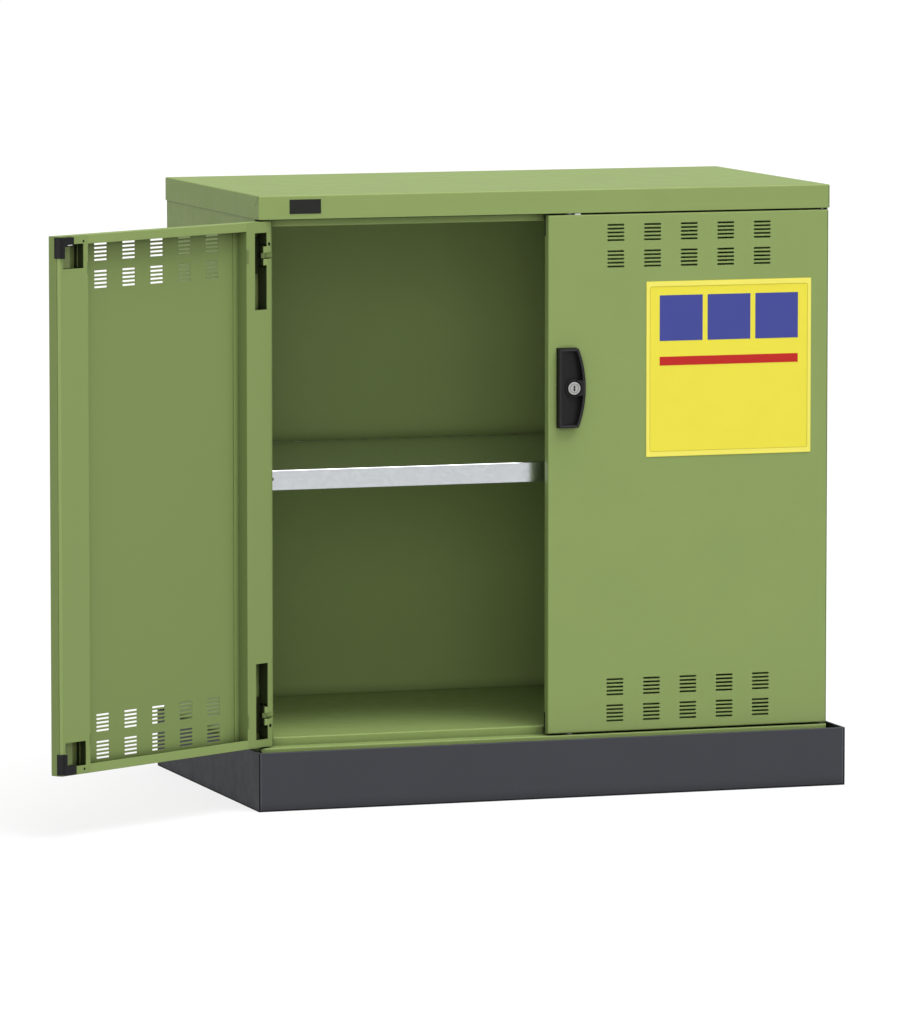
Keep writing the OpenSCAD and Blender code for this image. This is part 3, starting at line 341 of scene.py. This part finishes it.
# Painted shade on the doors' inner faces, the open door's free edge and its stile walls.
LEFT_SKIN_SHADE = ((INWARD, 0.83, SKIN_INSIDE), (FREE_EDGE, 0.84, ANYWHERE))
LEFT_STILE_SHADE = ((INWARD, 0.93, ANYWHERE), (FREE_EDGE, 0.70, ANYWHERE))
RIGHT_SKIN_SHADE = ((BACKWARD, 0.83, RIGHT_SKIN_INSIDE),)
GREEN = linear(139, 158, 96)


def green_coat(name, shaded_sides=()):
    """The cabinet's own green, with painted shade on the sides named."""
    return powder_coat(name, GREEN, roughness=0.42, edge_highlight=0.16, shaded_sides=shaded_sides)


def make_materials():
    """Every finish, by its name: its colour, then its roughness where that is given."""
    return {
        "cabinet_green": green_coat("cabinet_green"),
        "left_skin_shaded_green": green_coat("left_skin_shaded_green", LEFT_SKIN_SHADE),
        "left_stile_shaded_green": green_coat("left_stile_shaded_green", LEFT_STILE_SHADE),
        "right_door_shaded_green": green_coat("right_door_shaded_green", RIGHT_SKIN_SHADE),
        "tray_grey": powder_coat("tray_grey", linear(70, 71, 76), roughness=0.5, edge_highlight=0.08,
                                 grain=1100, gloss=0.05),
        "tray_highlight": powder_coat("tray_highlight", linear(92, 94, 100), roughness=0.5, edge_highlight=0.0),
        "tray_seam_and_shadow": powder_coat("tray_seam_and_shadow", linear(26, 27, 30), roughness=0.6, edge_highlight=0.0),
        "galvanised_steel": galvanised("galvanised_steel", linear(209, 213, 216)),
        "zinc_steel": zinc("zinc_steel", linear(190, 190, 188)),
        "lock_metal": zinc("lock_metal", linear(184, 184, 181), 0.38, metallic=0.8),
        "black_plastic": moulded("black_plastic", linear(26, 26, 27), 0.5),
        "foot_black": moulded("foot_black", linear(28, 28, 28), 0.7, grain=900),
        "bumper_black": moulded("bumper_black", linear(25, 25, 27), 0.55),
        "badge_black": printed("badge_black", linear(28, 29, 25), 0.6),
        "rim_highlight_black": moulded("rim_highlight_black", linear(50, 50, 52), 0.4),
        # Near-black for painted shade in gaps, in holes and round the handle and the lock.
        "shade_black": moulded("shade_black", linear(9, 9, 9), 0.9, grain=900),
        "white_nylon": moulded("white_nylon", linear(236, 236, 230), 0.45, grain=1800, depth=0.00003),
        "notice_yellow": printed("notice_yellow", linear(237, 225, 72)),
        "notice_blue": printed("notice_blue", linear(67, 74, 149)),
        "notice_red": printed("notice_red", linear(190, 40, 34)),
        "notice_pale": printed("notice_pale", linear(243, 233, 104)),
        "notice_dark": printed("notice_dark", linear(206, 192, 52)),
        "lock_shade": zinc("lock_shade", linear(118, 118, 116), 0.4, metallic=0.8),
        "seam_dark": powder_coat("seam_dark", linear(86, 99, 60), roughness=0.5, edge_highlight=0.0),
        # A darker green for painted shade on edges and notches, and for painted highlights in the dark
        # cut-outs.
        "shade_and_highlight_green": powder_coat("shade_and_highlight_green", linear(112, 126, 78), roughness=0.5, edge_highlight=0.1),
        # A paler green without crevice shade, painted light on the cut-outs' floors.
        "pocket_lit_green": printed("pocket_lit_green", linear(154, 171, 112), 0.6),
        # Near-black green for painted shade in slots and cut-outs.
        "shade_dark": powder_coat("shade_dark", linear(44, 52, 28), roughness=0.6, edge_highlight=0.0),
    }


# CAD nodes whose finish is not the one named after their slot.
OWN_FINISH = {
    # The doors' skins and stiles take the green with painted shade on the sides that fall in shade.
    "left_door_skin": "left_skin_shaded_green",
    "left_door_hinge_stile": "left_stile_shaded_green",
    "left_door_free_stile": "left_stile_shaded_green",
    "right_door_skin": "right_door_shaded_green",
    "badge_plate": "badge_black",
    # The hinge leaves and pins sit deep in their slots and take the near-black painted shade.
    "left_door_hinge_leaves": "shade_dark",
    "right_door_hinge_leaves": "shade_dark",
    "left_door_hinge_pins": "shade_dark",
    "right_door_hinge_pins": "shade_dark",
    "left_door_bumpers": "bumper_black",
    "right_door_bumpers": "bumper_black",
}

# Moulded nodes whose edges are rounded, with the radius in millimetres.
SOFT_EDGES = {"left_door_bumpers": 1.6, "right_door_bumpers": 1.6, "handle_housing": 1.1}
SHARP_FROM = math.radians(40)


def dress(materials):
    """Gives every CAD node its finish, and moulded plastic its rounded edges."""
    slots = {s["node"]: s["material_slot"] for s in frame["record"]["subparts"]}
    for name, node in NODES.items():
        node.data.materials.clear()
        node.data.materials.append(materials[OWN_FINISH.get(name, slots[name])])
    for name, radius in SOFT_EDGES.items():
        soften(NODES[name], radius, segments=3)


def soften(obj, radius, segments=2):
    """Rounds an object's edges where they turn by more than SHARP_FROM, by a radius in millimetres."""
    bevel = obj.modifiers.new("soften", "BEVEL")
    bevel.width = radius * MM
    bevel.segments = segments
    bevel.limit_method = "ANGLE"
    bevel.angle_limit = SHARP_FROM


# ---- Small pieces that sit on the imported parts, in millimetres of the closed cabinet ----


# The row frame's upright axis in the closed cabinet, and the left door's hinge line.
ROW_X = 517.5
ROW_Y = 277.5
LEFT_AXIS_X = 11.0
LEFT_AXIS_Y = 12.7

# The doors' back face and top edge, and the front face of the lid and the doors.
DOOR_BACK = 23.0
DOOR_TOP = 993.0
FRONT = 0

# How far a line or a mark stands proud of its face, and how deep one on a back face is let in.
LIFT = 0.12
LET_IN = 0.2


def in_row(point):
    """A point of the closed cabinet, in millimetres, as a point of the row frame, in metres."""
    x, y, z = point
    return ((x - ROW_X) * MM, (y - ROW_Y) * MM, z * MM)


def on_left_door(point):
    """The same for a point of the left door, which stands open at rest."""
    x, y, z = point
    along, out = x - LEFT_AXIS_X, y - LEFT_AXIS_Y
    cos, sin = math.cos(LEFT_OPEN), math.sin(LEFT_OPEN)
    return in_row((LEFT_AXIS_X + along * cos - out * sin, LEFT_AXIS_Y + along * sin + out * cos, z))


def turned(along, a, b, c):
    """The point with c along the named axis and a and b along the other two."""
    return {"x": (c, a, b), "y": (a, c, b), "z": (a, b, c)}[along]


def prism(outline, low, high, along="y"):
    """A straight bar with the section outline, from low to high along an axis."""
    count = len(outline)
    verts = [turned(along, a, b, c) for c in (low, high) for a, b in outline]
    faces = [tuple(range(count)), tuple(range(count, 2 * count))]
    for i in range(count):
        j = (i + 1) % count
        faces.append((i, j, j + count, i + count))
    return verts, faces


def ring(outer, inner, low, high, along="y"):
    """A bar with a hole through it. Both outlines have the same number of points."""
    count = len(outer)
    verts = [turned(along, a, b, c) for c in (low, high) for loop in (outer, inner) for a, b in loop]
    faces = []
    for i in range(count):
        j = (i + 1) % count
        for first, second in ((0, 1), (2, 3), (0, 2), (1, 3)):
            faces.append((first * count + i, first * count + j, second * count + j, second * count + i))
    return verts, faces


def rectangle(a0, b0, a1, b1):
    return [(a0, b0), (a1, b0), (a1, b1), (a0, b1)]


def rounded(a0, b0, a1, b1, radius, steps=6):
    """A rectangle with round corners, starting at its lower left corner."""
    points = []
    corners = ((a0, b0, 180), (a1, b0, 270), (a1, b1, 0), (a0, b1, 90))
    for a, b, start in corners:
        centre_a = a + radius if a == a0 else a - radius
        centre_b = b + radius if b == b0 else b - radius
        for step in range(steps + 1):
            angle = math.radians(start + 90 * step / steps)
            points.append((centre_a + radius * math.cos(angle), centre_b + radius * math.sin(angle)))
    return points


def circle(a, b, radius, steps=40):
    angles = [2 * math.pi * i / steps for i in range(steps)]
    return [(a + radius * math.cos(t), b + radius * math.sin(t)) for t in angles]


def front_mark(outline, face):
    """A thin plate with the given outline, just proud of a face that looks to the front."""
    return prism(outline, face - LIFT, face)


def back_mark(outline, face):
    """A thin plate with the given outline, just proud of a face that looks to the back."""
    return prism(outline, face - LET_IN, face + LIFT)


def piece(name, solids, material, body, where=in_row, radius=0.0):
    """One named piece made of solids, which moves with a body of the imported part."""
    verts, faces = [], []
    for solid_verts, solid_faces in solids:
        start = len(verts)
        verts += [where(v) for v in solid_verts]
        faces += [tuple(start + i for i in face) for face in solid_faces]
    mesh = bpy.data.meshes.new(name)
    mesh.from_pydata(verts, [], faces)
    shell = bmesh.new()
    shell.from_mesh(mesh)
    bmesh.ops.recalc_face_normals(shell, faces=shell.faces)
    shell.to_mesh(mesh)
    shell.free()
    mesh.materials.append(material)
    obj = bpy.data.objects.new(name, mesh)
    SCENE.collection.objects.link(obj)
    if radius:
        soften(obj, radius)
    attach(obj, body)


# The yellow plate: left, low, right and high edge, its front face, and how far its pale band and
# its frame line lie inside its edges.
NOTICE = (689.5, 576.5, 989.5, 876.5)
NOTICE_FRONT = -1.0
BAND_INSET = 0.4
BAND_CORNER = 0.8
LINE_SIDE = 6.0
LINE_TOP = 8.5
LINE_WIDTH = 1.1
LINE_CORNER = 4
LINE_INNER_CORNER = 3


def inside(box, side, top, radius):
    """A box moved inwards at its sides and at its top and bottom, with round corners."""
    left, low, right, high = box
    return rounded(left + side, low + top, right - side, high - top, radius)


def notice_edges(materials):
    """The plate's thin inner frame line and the paler band outside it."""
    outer = inside(NOTICE, BAND_INSET, BAND_INSET, BAND_CORNER)
    middle = inside(NOTICE, LINE_SIDE, LINE_TOP, LINE_CORNER)
    inner = inside(NOTICE, LINE_SIDE + LINE_WIDTH, LINE_TOP + LINE_WIDTH, LINE_INNER_CORNER)
    front = NOTICE_FRONT - LIFT
    band = ring(outer, middle, front, NOTICE_FRONT)
    piece("notice_band", [band], materials["notice_pale"], "right_door")
    line = ring(middle, inner, front, NOTICE_FRONT)
    piece("notice_line", [line], materials["notice_dark"], "right_door")


# The lock: the plug's middle, its front face and its radius.
LOCK_X = 555.1
LOCK_Z = 699.0
LOCK_FRONT = -14.2
PLUG_R = 7.0

# The handle: its left edge, its width in the middle and at the ends, its height and front face.
HANDLE_LEFT = LOCK_X - 26.7
HANDLE_W = 47.5
HANDLE_END_W = 34.7
HANDLE_H = 135.0
HANDLE_FRONT = -13.0

# The painted contact shadow reaches past the handle's outline. The painted highlight on the rim lies
# between two insets of it.
CONTACT_SHADOW_REACH = 0.9
CONTACT_SHADOW_FRONT = -0.9
CONTACT_SHADOW_BACK = -0.02
RIM_HIGHLIGHT_OUTER = 1.9
RIM_HIGHLIGHT_INNER = 3.4

# A near-black ring of painted shade in the gap round the lock's body, and a darker line of painted
# shade round its plug.
SHADE_RING_R = 13.4
SHADE_RING_HOLE_R = 10.85
SHADE_RING_PROUD = 0.2
SHADE_RING_BACK = -10.1
PLUG_LINE_OUTER = 0.9
PLUG_LINE_INNER = 0.1

# The keyhole, drawn as painted shade: a slot from below the plug's middle to above it, and two
# round holes on it.
KEYHOLE_DOWN = 5.0
KEYHOLE_UP = 4.6
KEYHOLE_HALF_W = 0.9
KEYHOLE_CORNER = 0.6
KEYHOLE_ROUND_R = 1.7
KEYHOLE_ROUNDS = (2.4, -2.6)
KEYHOLE_ROUND_PROUD = 0.1


def handle_outline(inset, steps=32):
    """The handle's outline, moved inwards: straight at the left and the ends, bowed at the right."""
    bow = HANDLE_W - HANDLE_END_W
    radius = (HANDLE_H ** 2 / 4 + bow ** 2) / (2 * bow)
    half = HANDLE_H / 2 - inset
    centre = HANDLE_LEFT + HANDLE_W - radius
    outline = [(HANDLE_LEFT + inset, LOCK_Z + half), (HANDLE_LEFT + inset, LOCK_Z - half)]
    for step in range(steps + 1):
        z = half * (2 * step / steps - 1)
        outline.append((centre + math.sqrt((radius - inset) ** 2 - z * z), LOCK_Z + z))
    return outline


def handle_details(materials):
    """Painted shade round the handle and round the lock's body, a painted highlight on the handle's rim,
    and painted shade round the plug and in the keyhole.
    """
    # Painted contact shadow round the handle.
    contact_shadow = prism(handle_outline(-CONTACT_SHADOW_REACH), CONTACT_SHADOW_FRONT, CONTACT_SHADOW_BACK)
    piece("handle_contact_shadow", [contact_shadow], materials["shade_black"], "right_door")
    front = HANDLE_FRONT - LIFT
    # Painted highlight along the handle's rim.
    rim_line = ring(handle_outline(RIM_HIGHLIGHT_OUTER), handle_outline(RIM_HIGHLIGHT_INNER), front, HANDLE_FRONT)
    piece("handle_rim_highlight", [rim_line], materials["rim_highlight_black"], "right_door")
    # Painted shade in the gap round the lock's body.
    shade_ring = ring(circle(LOCK_X, LOCK_Z, SHADE_RING_R), circle(LOCK_X, LOCK_Z, SHADE_RING_HOLE_R),
                  front - SHADE_RING_PROUD, SHADE_RING_BACK)
    piece("lock_shade_ring", [shade_ring], materials["shade_black"], "right_door")
    # Painted shade in the gap round the plug.
    rim = ring(circle(LOCK_X, LOCK_Z, PLUG_R + PLUG_LINE_OUTER),
               circle(LOCK_X, LOCK_Z, PLUG_R + PLUG_LINE_INNER),
               LOCK_FRONT - LIFT, LOCK_FRONT)
    piece("lock_plug_shade", [rim], materials["lock_shade"], "right_door")
    # Painted shade: the keyhole is drawn as near-black marks on the plug's face.
    hole = [prism(circle(LOCK_X, LOCK_Z + up, KEYHOLE_ROUND_R, 20),
                  LOCK_FRONT - LIFT - KEYHOLE_ROUND_PROUD, LOCK_FRONT)
            for up in KEYHOLE_ROUNDS]
    slot = rounded(LOCK_X - KEYHOLE_HALF_W, LOCK_Z - KEYHOLE_DOWN,
                   LOCK_X + KEYHOLE_HALF_W, LOCK_Z + KEYHOLE_UP, KEYHOLE_CORNER)
    hole.append(front_mark(slot, LOCK_FRONT))
    piece("keyhole", hole, materials["foot_black"], "lock")


# Near-black strips of painted shade behind the gap under the lid: their height, and their front,
# right and left strips seen from above.
LID_SHADE_LOW = 993.6
LID_SHADE_HIGH = 996.4
LID_GAP_SHADES = ((5, 24.2, 1017, 26.4), (1017.6, 2, 1020.2, 26.4), (2.8, 2, 5, 26.4))

# The mitre seam on the lid's left side, at its front corner, and the weld dot on it, by depth and
# height; the dot's last value is its radius.
LID_SIDE = 0
LID_SEAM = ((0.6, 1034.6), (1.2, 1035.2), (23.0, 1016.6), (22.4, 1016.0))
SEAM_DOT = (2.2, 1033.6, 1.5)
SEAM_DOT_PROUD = 0.05

# Painted shade down the rounded right-hand edges of the lid's front and of the right door, where
# they turn from the light, each as left, low, right and high edge.
LID_EDGE_SHADE = (1021.2, 997.5, 1022.8, 1034.5)
DOOR_EDGE_SHADE = (1019.3, 108.5, 1020.8, 991.5)

# The white tab of the upper rod guide, seen from above, and how far it lies in and over the door.
GUIDE_TAB = (560.5, 1.6, 572, 11)
GUIDE_TAB_CORNER = 1.2
GUIDE_TAB_IN = 0.3
GUIDE_TAB_OVER = 2.5
GUIDE_TAB_SOFT = 0.3


def lid_details(materials):
    """Painted shade behind the gap under the lid, the lid's mitre seam, and painted shade down its
    right-hand edge.
    """
    gap_shades = [prism(rectangle(*strip), LID_SHADE_LOW, LID_SHADE_HIGH, "z") for strip in LID_GAP_SHADES]
    piece("lid_gap_shade", gap_shades, materials["shade_black"], "carcass")
    seam = prism(LID_SEAM, LID_SIDE - LIFT, LID_SIDE, "x")
    dot = prism(circle(*SEAM_DOT, 16), LID_SIDE - LIFT - SEAM_DOT_PROUD, LID_SIDE, "x")
    piece("lid_seam", [seam, dot], materials["seam_dark"], "carcass")
    # Painted shade down the lid's rounded right-hand edge.
    line = front_mark(rectangle(*LID_EDGE_SHADE), FRONT)
    piece("lid_corner_shade", [line], materials["shade_and_highlight_green"], "carcass")


def right_door_details(materials):
    """Painted shade down the door's right-hand edge, and the white tab of its upper rod guide."""
    line = front_mark(rectangle(*DOOR_EDGE_SHADE), FRONT)
    piece("right_door_edge_shade", [line], materials["shade_and_highlight_green"], "right_door")
    tab = prism(rounded(*GUIDE_TAB, GUIDE_TAB_CORNER),
                DOOR_TOP - GUIDE_TAB_IN, DOOR_TOP + GUIDE_TAB_OVER, "z")
    piece("rod_guide_tab", [tab], materials["white_nylon"], "right_door", radius=GUIDE_TAB_SOFT)


# The tray's outer faces and top edge, and the bare strip left at its right and back ends.
TRAY_LEFT = -10.5
TRAY_RIGHT = 1045.5
TRAY_FRONT = -27.5
TRAY_BACK = 582.5
TRAY_TOP = 100.0
TRAY_RIGHT_END = 0.2
TRAY_BACK_END = 1

# The dark corner seams, the painted contact shadow along the bottom, and the painted highlights
# on the rounded corners beside the seams.
SEAM = 2.2
SEAM_LOW = 2
UPRIGHT_TOP = TRAY_TOP - 1
BOTTOM_SHADOW_LOW = 0.1
BOTTOM_SHADOW_HIGH = 2.2
TRAY_GLINT_W = 1.6
TRAY_GLINT_LOW = 3
TRAY_GLINT_LEFT_GAP = 0.4
TRAY_GLINT_RIGHT_GAP = 1.2

# The painted highlight under the rounded top edge, and its gaps to the corner highlights.
RIM_LOW = TRAY_TOP - 1.5
RIM_HIGH = TRAY_TOP - 0.2
RIM_LEFT_GAP = 1
RIM_RIGHT_GAP = 2


def tray_details(materials):
    """The tray's dark corner seams, painted shadow along its bottom, and painted highlights on its rim.
    """
    seam_and_shadow_marks = [front_mark(rectangle(x, SEAM_LOW, x + SEAM, UPRIGHT_TOP), TRAY_FRONT)
             for x in (TRAY_LEFT, TRAY_RIGHT - SEAM - TRAY_RIGHT_END)]
    # Painted contact shadow along the tray's bottom edges.
    bottom_shadow = rectangle(TRAY_LEFT, BOTTOM_SHADOW_LOW, TRAY_RIGHT - TRAY_RIGHT_END, BOTTOM_SHADOW_HIGH)
    seam_and_shadow_marks.append(front_mark(bottom_shadow, TRAY_FRONT))
    side_shadow = rectangle(TRAY_FRONT, BOTTOM_SHADOW_LOW, TRAY_BACK - TRAY_BACK_END, BOTTOM_SHADOW_HIGH)
    seam_and_shadow_marks.append(prism(side_shadow, TRAY_LEFT - LIFT, TRAY_LEFT, "x"))
    piece("tray_seam_and_shadow_marks", seam_and_shadow_marks, materials["tray_seam_and_shadow"], "carcass")
    # Painted highlights on the rounded corners beside the seams and under the top edge.
    highlights = [front_mark(rectangle(x, TRAY_GLINT_LOW, x + TRAY_GLINT_W, UPRIGHT_TOP), TRAY_FRONT)
             for x in (TRAY_LEFT + SEAM + TRAY_GLINT_LEFT_GAP, TRAY_RIGHT - SEAM - TRAY_GLINT_W - TRAY_GLINT_RIGHT_GAP)]
    rim = rectangle(TRAY_LEFT + SEAM + TRAY_GLINT_W + RIM_LEFT_GAP, RIM_LOW,
                    TRAY_RIGHT - SEAM - TRAY_GLINT_W - RIM_RIGHT_GAP, RIM_HIGH)
    highlights.append(front_mark(rim, TRAY_FRONT))
    piece("tray_highlights", highlights, materials["tray_highlight"], "carcass")


# The hinge teeth: the hinges' heights, each tooth's span from there, and its reach from the slot.
HINGES_Z = (159.0, 935.5)
TOOTH_SPANS = ((4.9, 15.7), (-15.7, -4.9))
SLOT_EDGE = 12.5
TOOTH_REACH = 7.6
TOOTH_LAP = 0.2
TOOTH_CORNER = 0.5
TOOTH_DEEP = 1.5
TOOTH_SUNK = 0.05

# Round holes in the edge strip and the corners, by their place across and up, drawn as near-black
# discs of painted shade.
STRIP_HOLES = ((7.0, 955.0), (7.0, 142.0))
STRIP_HOLE_R = 2.9
CORNER_HOLES = ((451.0, 983.0), (455.0, 115.0))
CORNER_HOLE_R = 2.1

# Painted shade of small notches at the stiles' inner edges, as left, right, low and high edge.
STILE_NOTCH_SHADES = ((440.7, 442.6, 928.5, 948.0), (440.7, 442.6, 152.0, 171.5),
              (56.6, 62.2, 924.0, 947.5), (58.8, 62.2, 141.0, 164.0))
NOTCH_SHADE_CORNER = 0.9

# Near-black plates of painted shade on the inner walls of the stiles' cut-outs and slots: left,
# front, low and high edge.
CAVITY_SHADES = ((449.8, 1.6, 938.0, 982.0), (449.8, 1.6, 118.0, 162.0),
          (11.1, 4.4, 846.5, 916.0), (11.1, 4.4, 955.0, 973.5),
          (11.1, 4.4, 121.0, 139.0), (11.1, 4.4, 179.0, 248.0))
CAVITY_SHADE_WIDTH = 1.2
CAVITY_SHADE_BACK = 21.6

# Paler plates of painted light on the floors of the square cut-outs, as left, low, right and high
# edge, and the painted highlight of a thin bar in each as left, low and high edge.
LIT_POCKET_FLOORS = ((461.5, 938.5, 498.5, 979.5), (461.5, 120.5, 498.5, 161.5))
POCKET_FLOOR_FRONT = 1.3
POCKET_FLOOR_BACK = 1.7
BAR_HIGHLIGHTS = ((451.2, 940.0, 980.0), (451.2, 120.0, 160.0))
BAR_WIDTH = 0.8
BAR_FRONT = 8.2
BAR_BACK = 10.2

# The upper bumper's back face, and a painted glint on it as left, low, right and high edge.
BUMPER_FACE = 29.5
BUMPER_GLINT = (484.0, 977.9, 495.0, 979.0)
GLINT_SUNK = 0.1


def hinge_teeth():
    """The two outer knuckles of each hinge, where they show at the slot's edge."""
    teeth = []
    for hinge in HINGES_Z:
        for low, high in TOOTH_SPANS:
            outline = rounded(SLOT_EDGE - TOOTH_LAP, hinge + low,
                              SLOT_EDGE + TOOTH_REACH, hinge + high, TOOTH_CORNER)
            teeth.append(prism(outline, DOOR_BACK - TOOTH_DEEP, DOOR_BACK - TOOTH_SUNK))
    return teeth


def left_door_details(materials):
    """What shows on the open door's inner face: hinge teeth, and painted shade, light and highlights on
    its holes, notches, cut-outs and slots.
    """
    piece("left_door_hinge_teeth", hinge_teeth(), materials["cabinet_green"], "left_door", on_left_door)
    # Painted shade: the holes are drawn as near-black discs.
    holes = [back_mark(circle(x, z, STRIP_HOLE_R, 24), DOOR_BACK) for x, z in STRIP_HOLES]
    holes += [back_mark(circle(x, z, CORNER_HOLE_R, 20), DOOR_BACK) for x, z in CORNER_HOLES]
    piece("left_door_holes", holes, materials["shade_black"], "left_door", on_left_door)
    notch_shades = [back_mark(rounded(x0, low, x1, high, NOTCH_SHADE_CORNER), DOOR_BACK)
            for x0, x1, low, high in STILE_NOTCH_SHADES]
    piece("left_door_notch_shades", notch_shades, materials["shade_and_highlight_green"], "left_door", on_left_door)
    cavity_shades = [prism(rectangle(x, y, x + CAVITY_SHADE_WIDTH, CAVITY_SHADE_BACK), low, high, "z")
              for x, y, low, high in CAVITY_SHADES]
    piece("left_door_cavity_shades", cavity_shades, materials["shade_dark"], "left_door", on_left_door)
    lit_floors = [prism(rectangle(*pocket), POCKET_FLOOR_FRONT, POCKET_FLOOR_BACK)
              for pocket in LIT_POCKET_FLOORS]
    piece("left_door_pocket_light", lit_floors, materials["pocket_lit_green"], "left_door", on_left_door)
    glint = prism(rectangle(*BUMPER_GLINT), BUMPER_FACE - GLINT_SUNK, BUMPER_FACE + LIFT)
    piece("left_door_bumper_glint", [glint], materials["white_nylon"], "left_door", on_left_door)
    # Painted highlight of a thin bar inside each cut-out.
    bar_highlights = [prism(rectangle(x, BAR_FRONT, x + BAR_WIDTH, BAR_BACK), low, high, "z")
            for x, low, high in BAR_HIGHLIGHTS]
    piece("left_door_bar_highlights", bar_highlights, materials["shade_and_highlight_green"], "left_door", on_left_door)


def make_details(materials):
    notice_edges(materials)
    handle_details(materials)
    lid_details(materials)
    right_door_details(materials)
    tray_details(materials)
    left_door_details(materials)


# ---- Floor and light ----


# The floor's reach to the front and to the other sides, and its height, in metres; and its glow,
# the share of light that it sends back where it is seen, and where it only lights the object.
FLOOR_FRONT = 9
FLOOR_REACH = 30
FLOOR_Z = -0.0003
FLOOR_GLOW = 0.76
FLOOR_SHARE = 0.21
FLOOR_BOUNCE = 0.35


def by_ray(tree, rays, seen, other):
    """Shows the shader seen to the kinds of ray named, and the shader other to all the rest."""
    path = tree.nodes.new("ShaderNodeLightPath")
    chosen = path.outputs[rays[0]]
    for kind in rays[1:]:
        chosen = tree.math("MAXIMUM", chosen, path.outputs[kind])
    mix = tree.nodes.new("ShaderNodeMixShader")
    tree.links.new(chosen, mix.inputs[0])
    tree.links.new(other, mix.inputs[1])
    tree.links.new(seen, mix.inputs[2])
    return mix.outputs[0]


def make_floor():
    """A plain white floor that glows a little, so that the object's shadow stays pale."""
    near, far = -FLOOR_FRONT, FLOOR_REACH
    corners = [(-far, near), (far, near), (far, far), (-far, far)]
    mesh = bpy.data.meshes.new("floor")
    mesh.from_pydata([(x, y, FLOOR_Z) for x, y in corners], [], [(0, 1, 2, 3)])
    floor = bpy.data.objects.new("floor", mesh)
    SCENE.collection.objects.link(floor)
    material, tree = new_material("floor")
    lit = tree.add("ShaderNodeBsdfDiffuse", {"Color": (FLOOR_SHARE,) * 3 + (1,)}).outputs[0]
    glow = tree.add("ShaderNodeEmission", {"Color": (1, 1, 1, 1), "Strength": FLOOR_GLOW}).outputs[0]
    both = tree.add("ShaderNodeAddShader", {0: lit, 1: glow}).outputs[0]
    bounced = tree.add("ShaderNodeBsdfDiffuse", {"Color": (FLOOR_BOUNCE,) * 3 + (1,)}).outputs[0]
    surface = by_ray(tree, ("Is Camera Ray", "Is Glossy Ray"), both, bounced)
    tree.links.new(surface, tree.nodes["Material Output"].inputs["Surface"])
    mesh.materials.append(material)


WORLD_LIGHT = 0.32


def make_world():
    """White behind the object, and a weaker even light on it."""
    world = bpy.data.worlds.new("studio")
    world.use_nodes = True
    SCENE.world = world
    tree = Tree(world)
    white = tree.add("ShaderNodeBackground", {"Color": (1, 1, 1, 1), "Strength": 1.0}).outputs[0]
    light = tree.add("ShaderNodeBackground", {"Color": (1, 1, 1, 1), "Strength": WORLD_LIGHT}).outputs[0]
    surface = by_ray(tree, ("Is Camera Ray",), white, light)
    tree.links.new(surface, tree.nodes["World Output"].inputs["Surface"])


def make_sun(name, towards, strength, spread):
    """A soft lamp. towards points from the object to the lamp, and spread is its width in degrees."""
    data = bpy.data.lights.new(name, "SUN")
    data.energy = strength
    data.angle = math.radians(spread)
    lamp = bpy.data.objects.new(name, data)
    lamp.rotation_euler = Vector(towards).to_track_quat("Z", "Y").to_euler()
    SCENE.collection.objects.link(lamp)


# Each sun's name, the way towards it, its strength and its width in degrees.
SUNS = (
    ("overhead", (0.20, -0.30, 1.00), 2.10, 40),
    ("sky", (0.00, 0.00, 1.00), 1.25, 120),
    ("front_high", (0.10, -1.00, 0.75), 0.40, 60),
    ("front_low", (-0.35, -1.00, 0.05), 0.73, 40),
    ("front_level", (-0.30, -1.00, -0.04), 0.18, 10),
    ("left", (-1.00, -0.15, 0.30), 0.24, 90),
)


def make_lights():
    make_world()
    for sun in SUNS:
        make_sun(*sun)


# ---- The scene ----


SCENE.view_settings.view_transform = "Standard"
make_camera()
finishes = make_materials()
dress(finishes)
make_details(finishes)
make_floor()
make_lights()
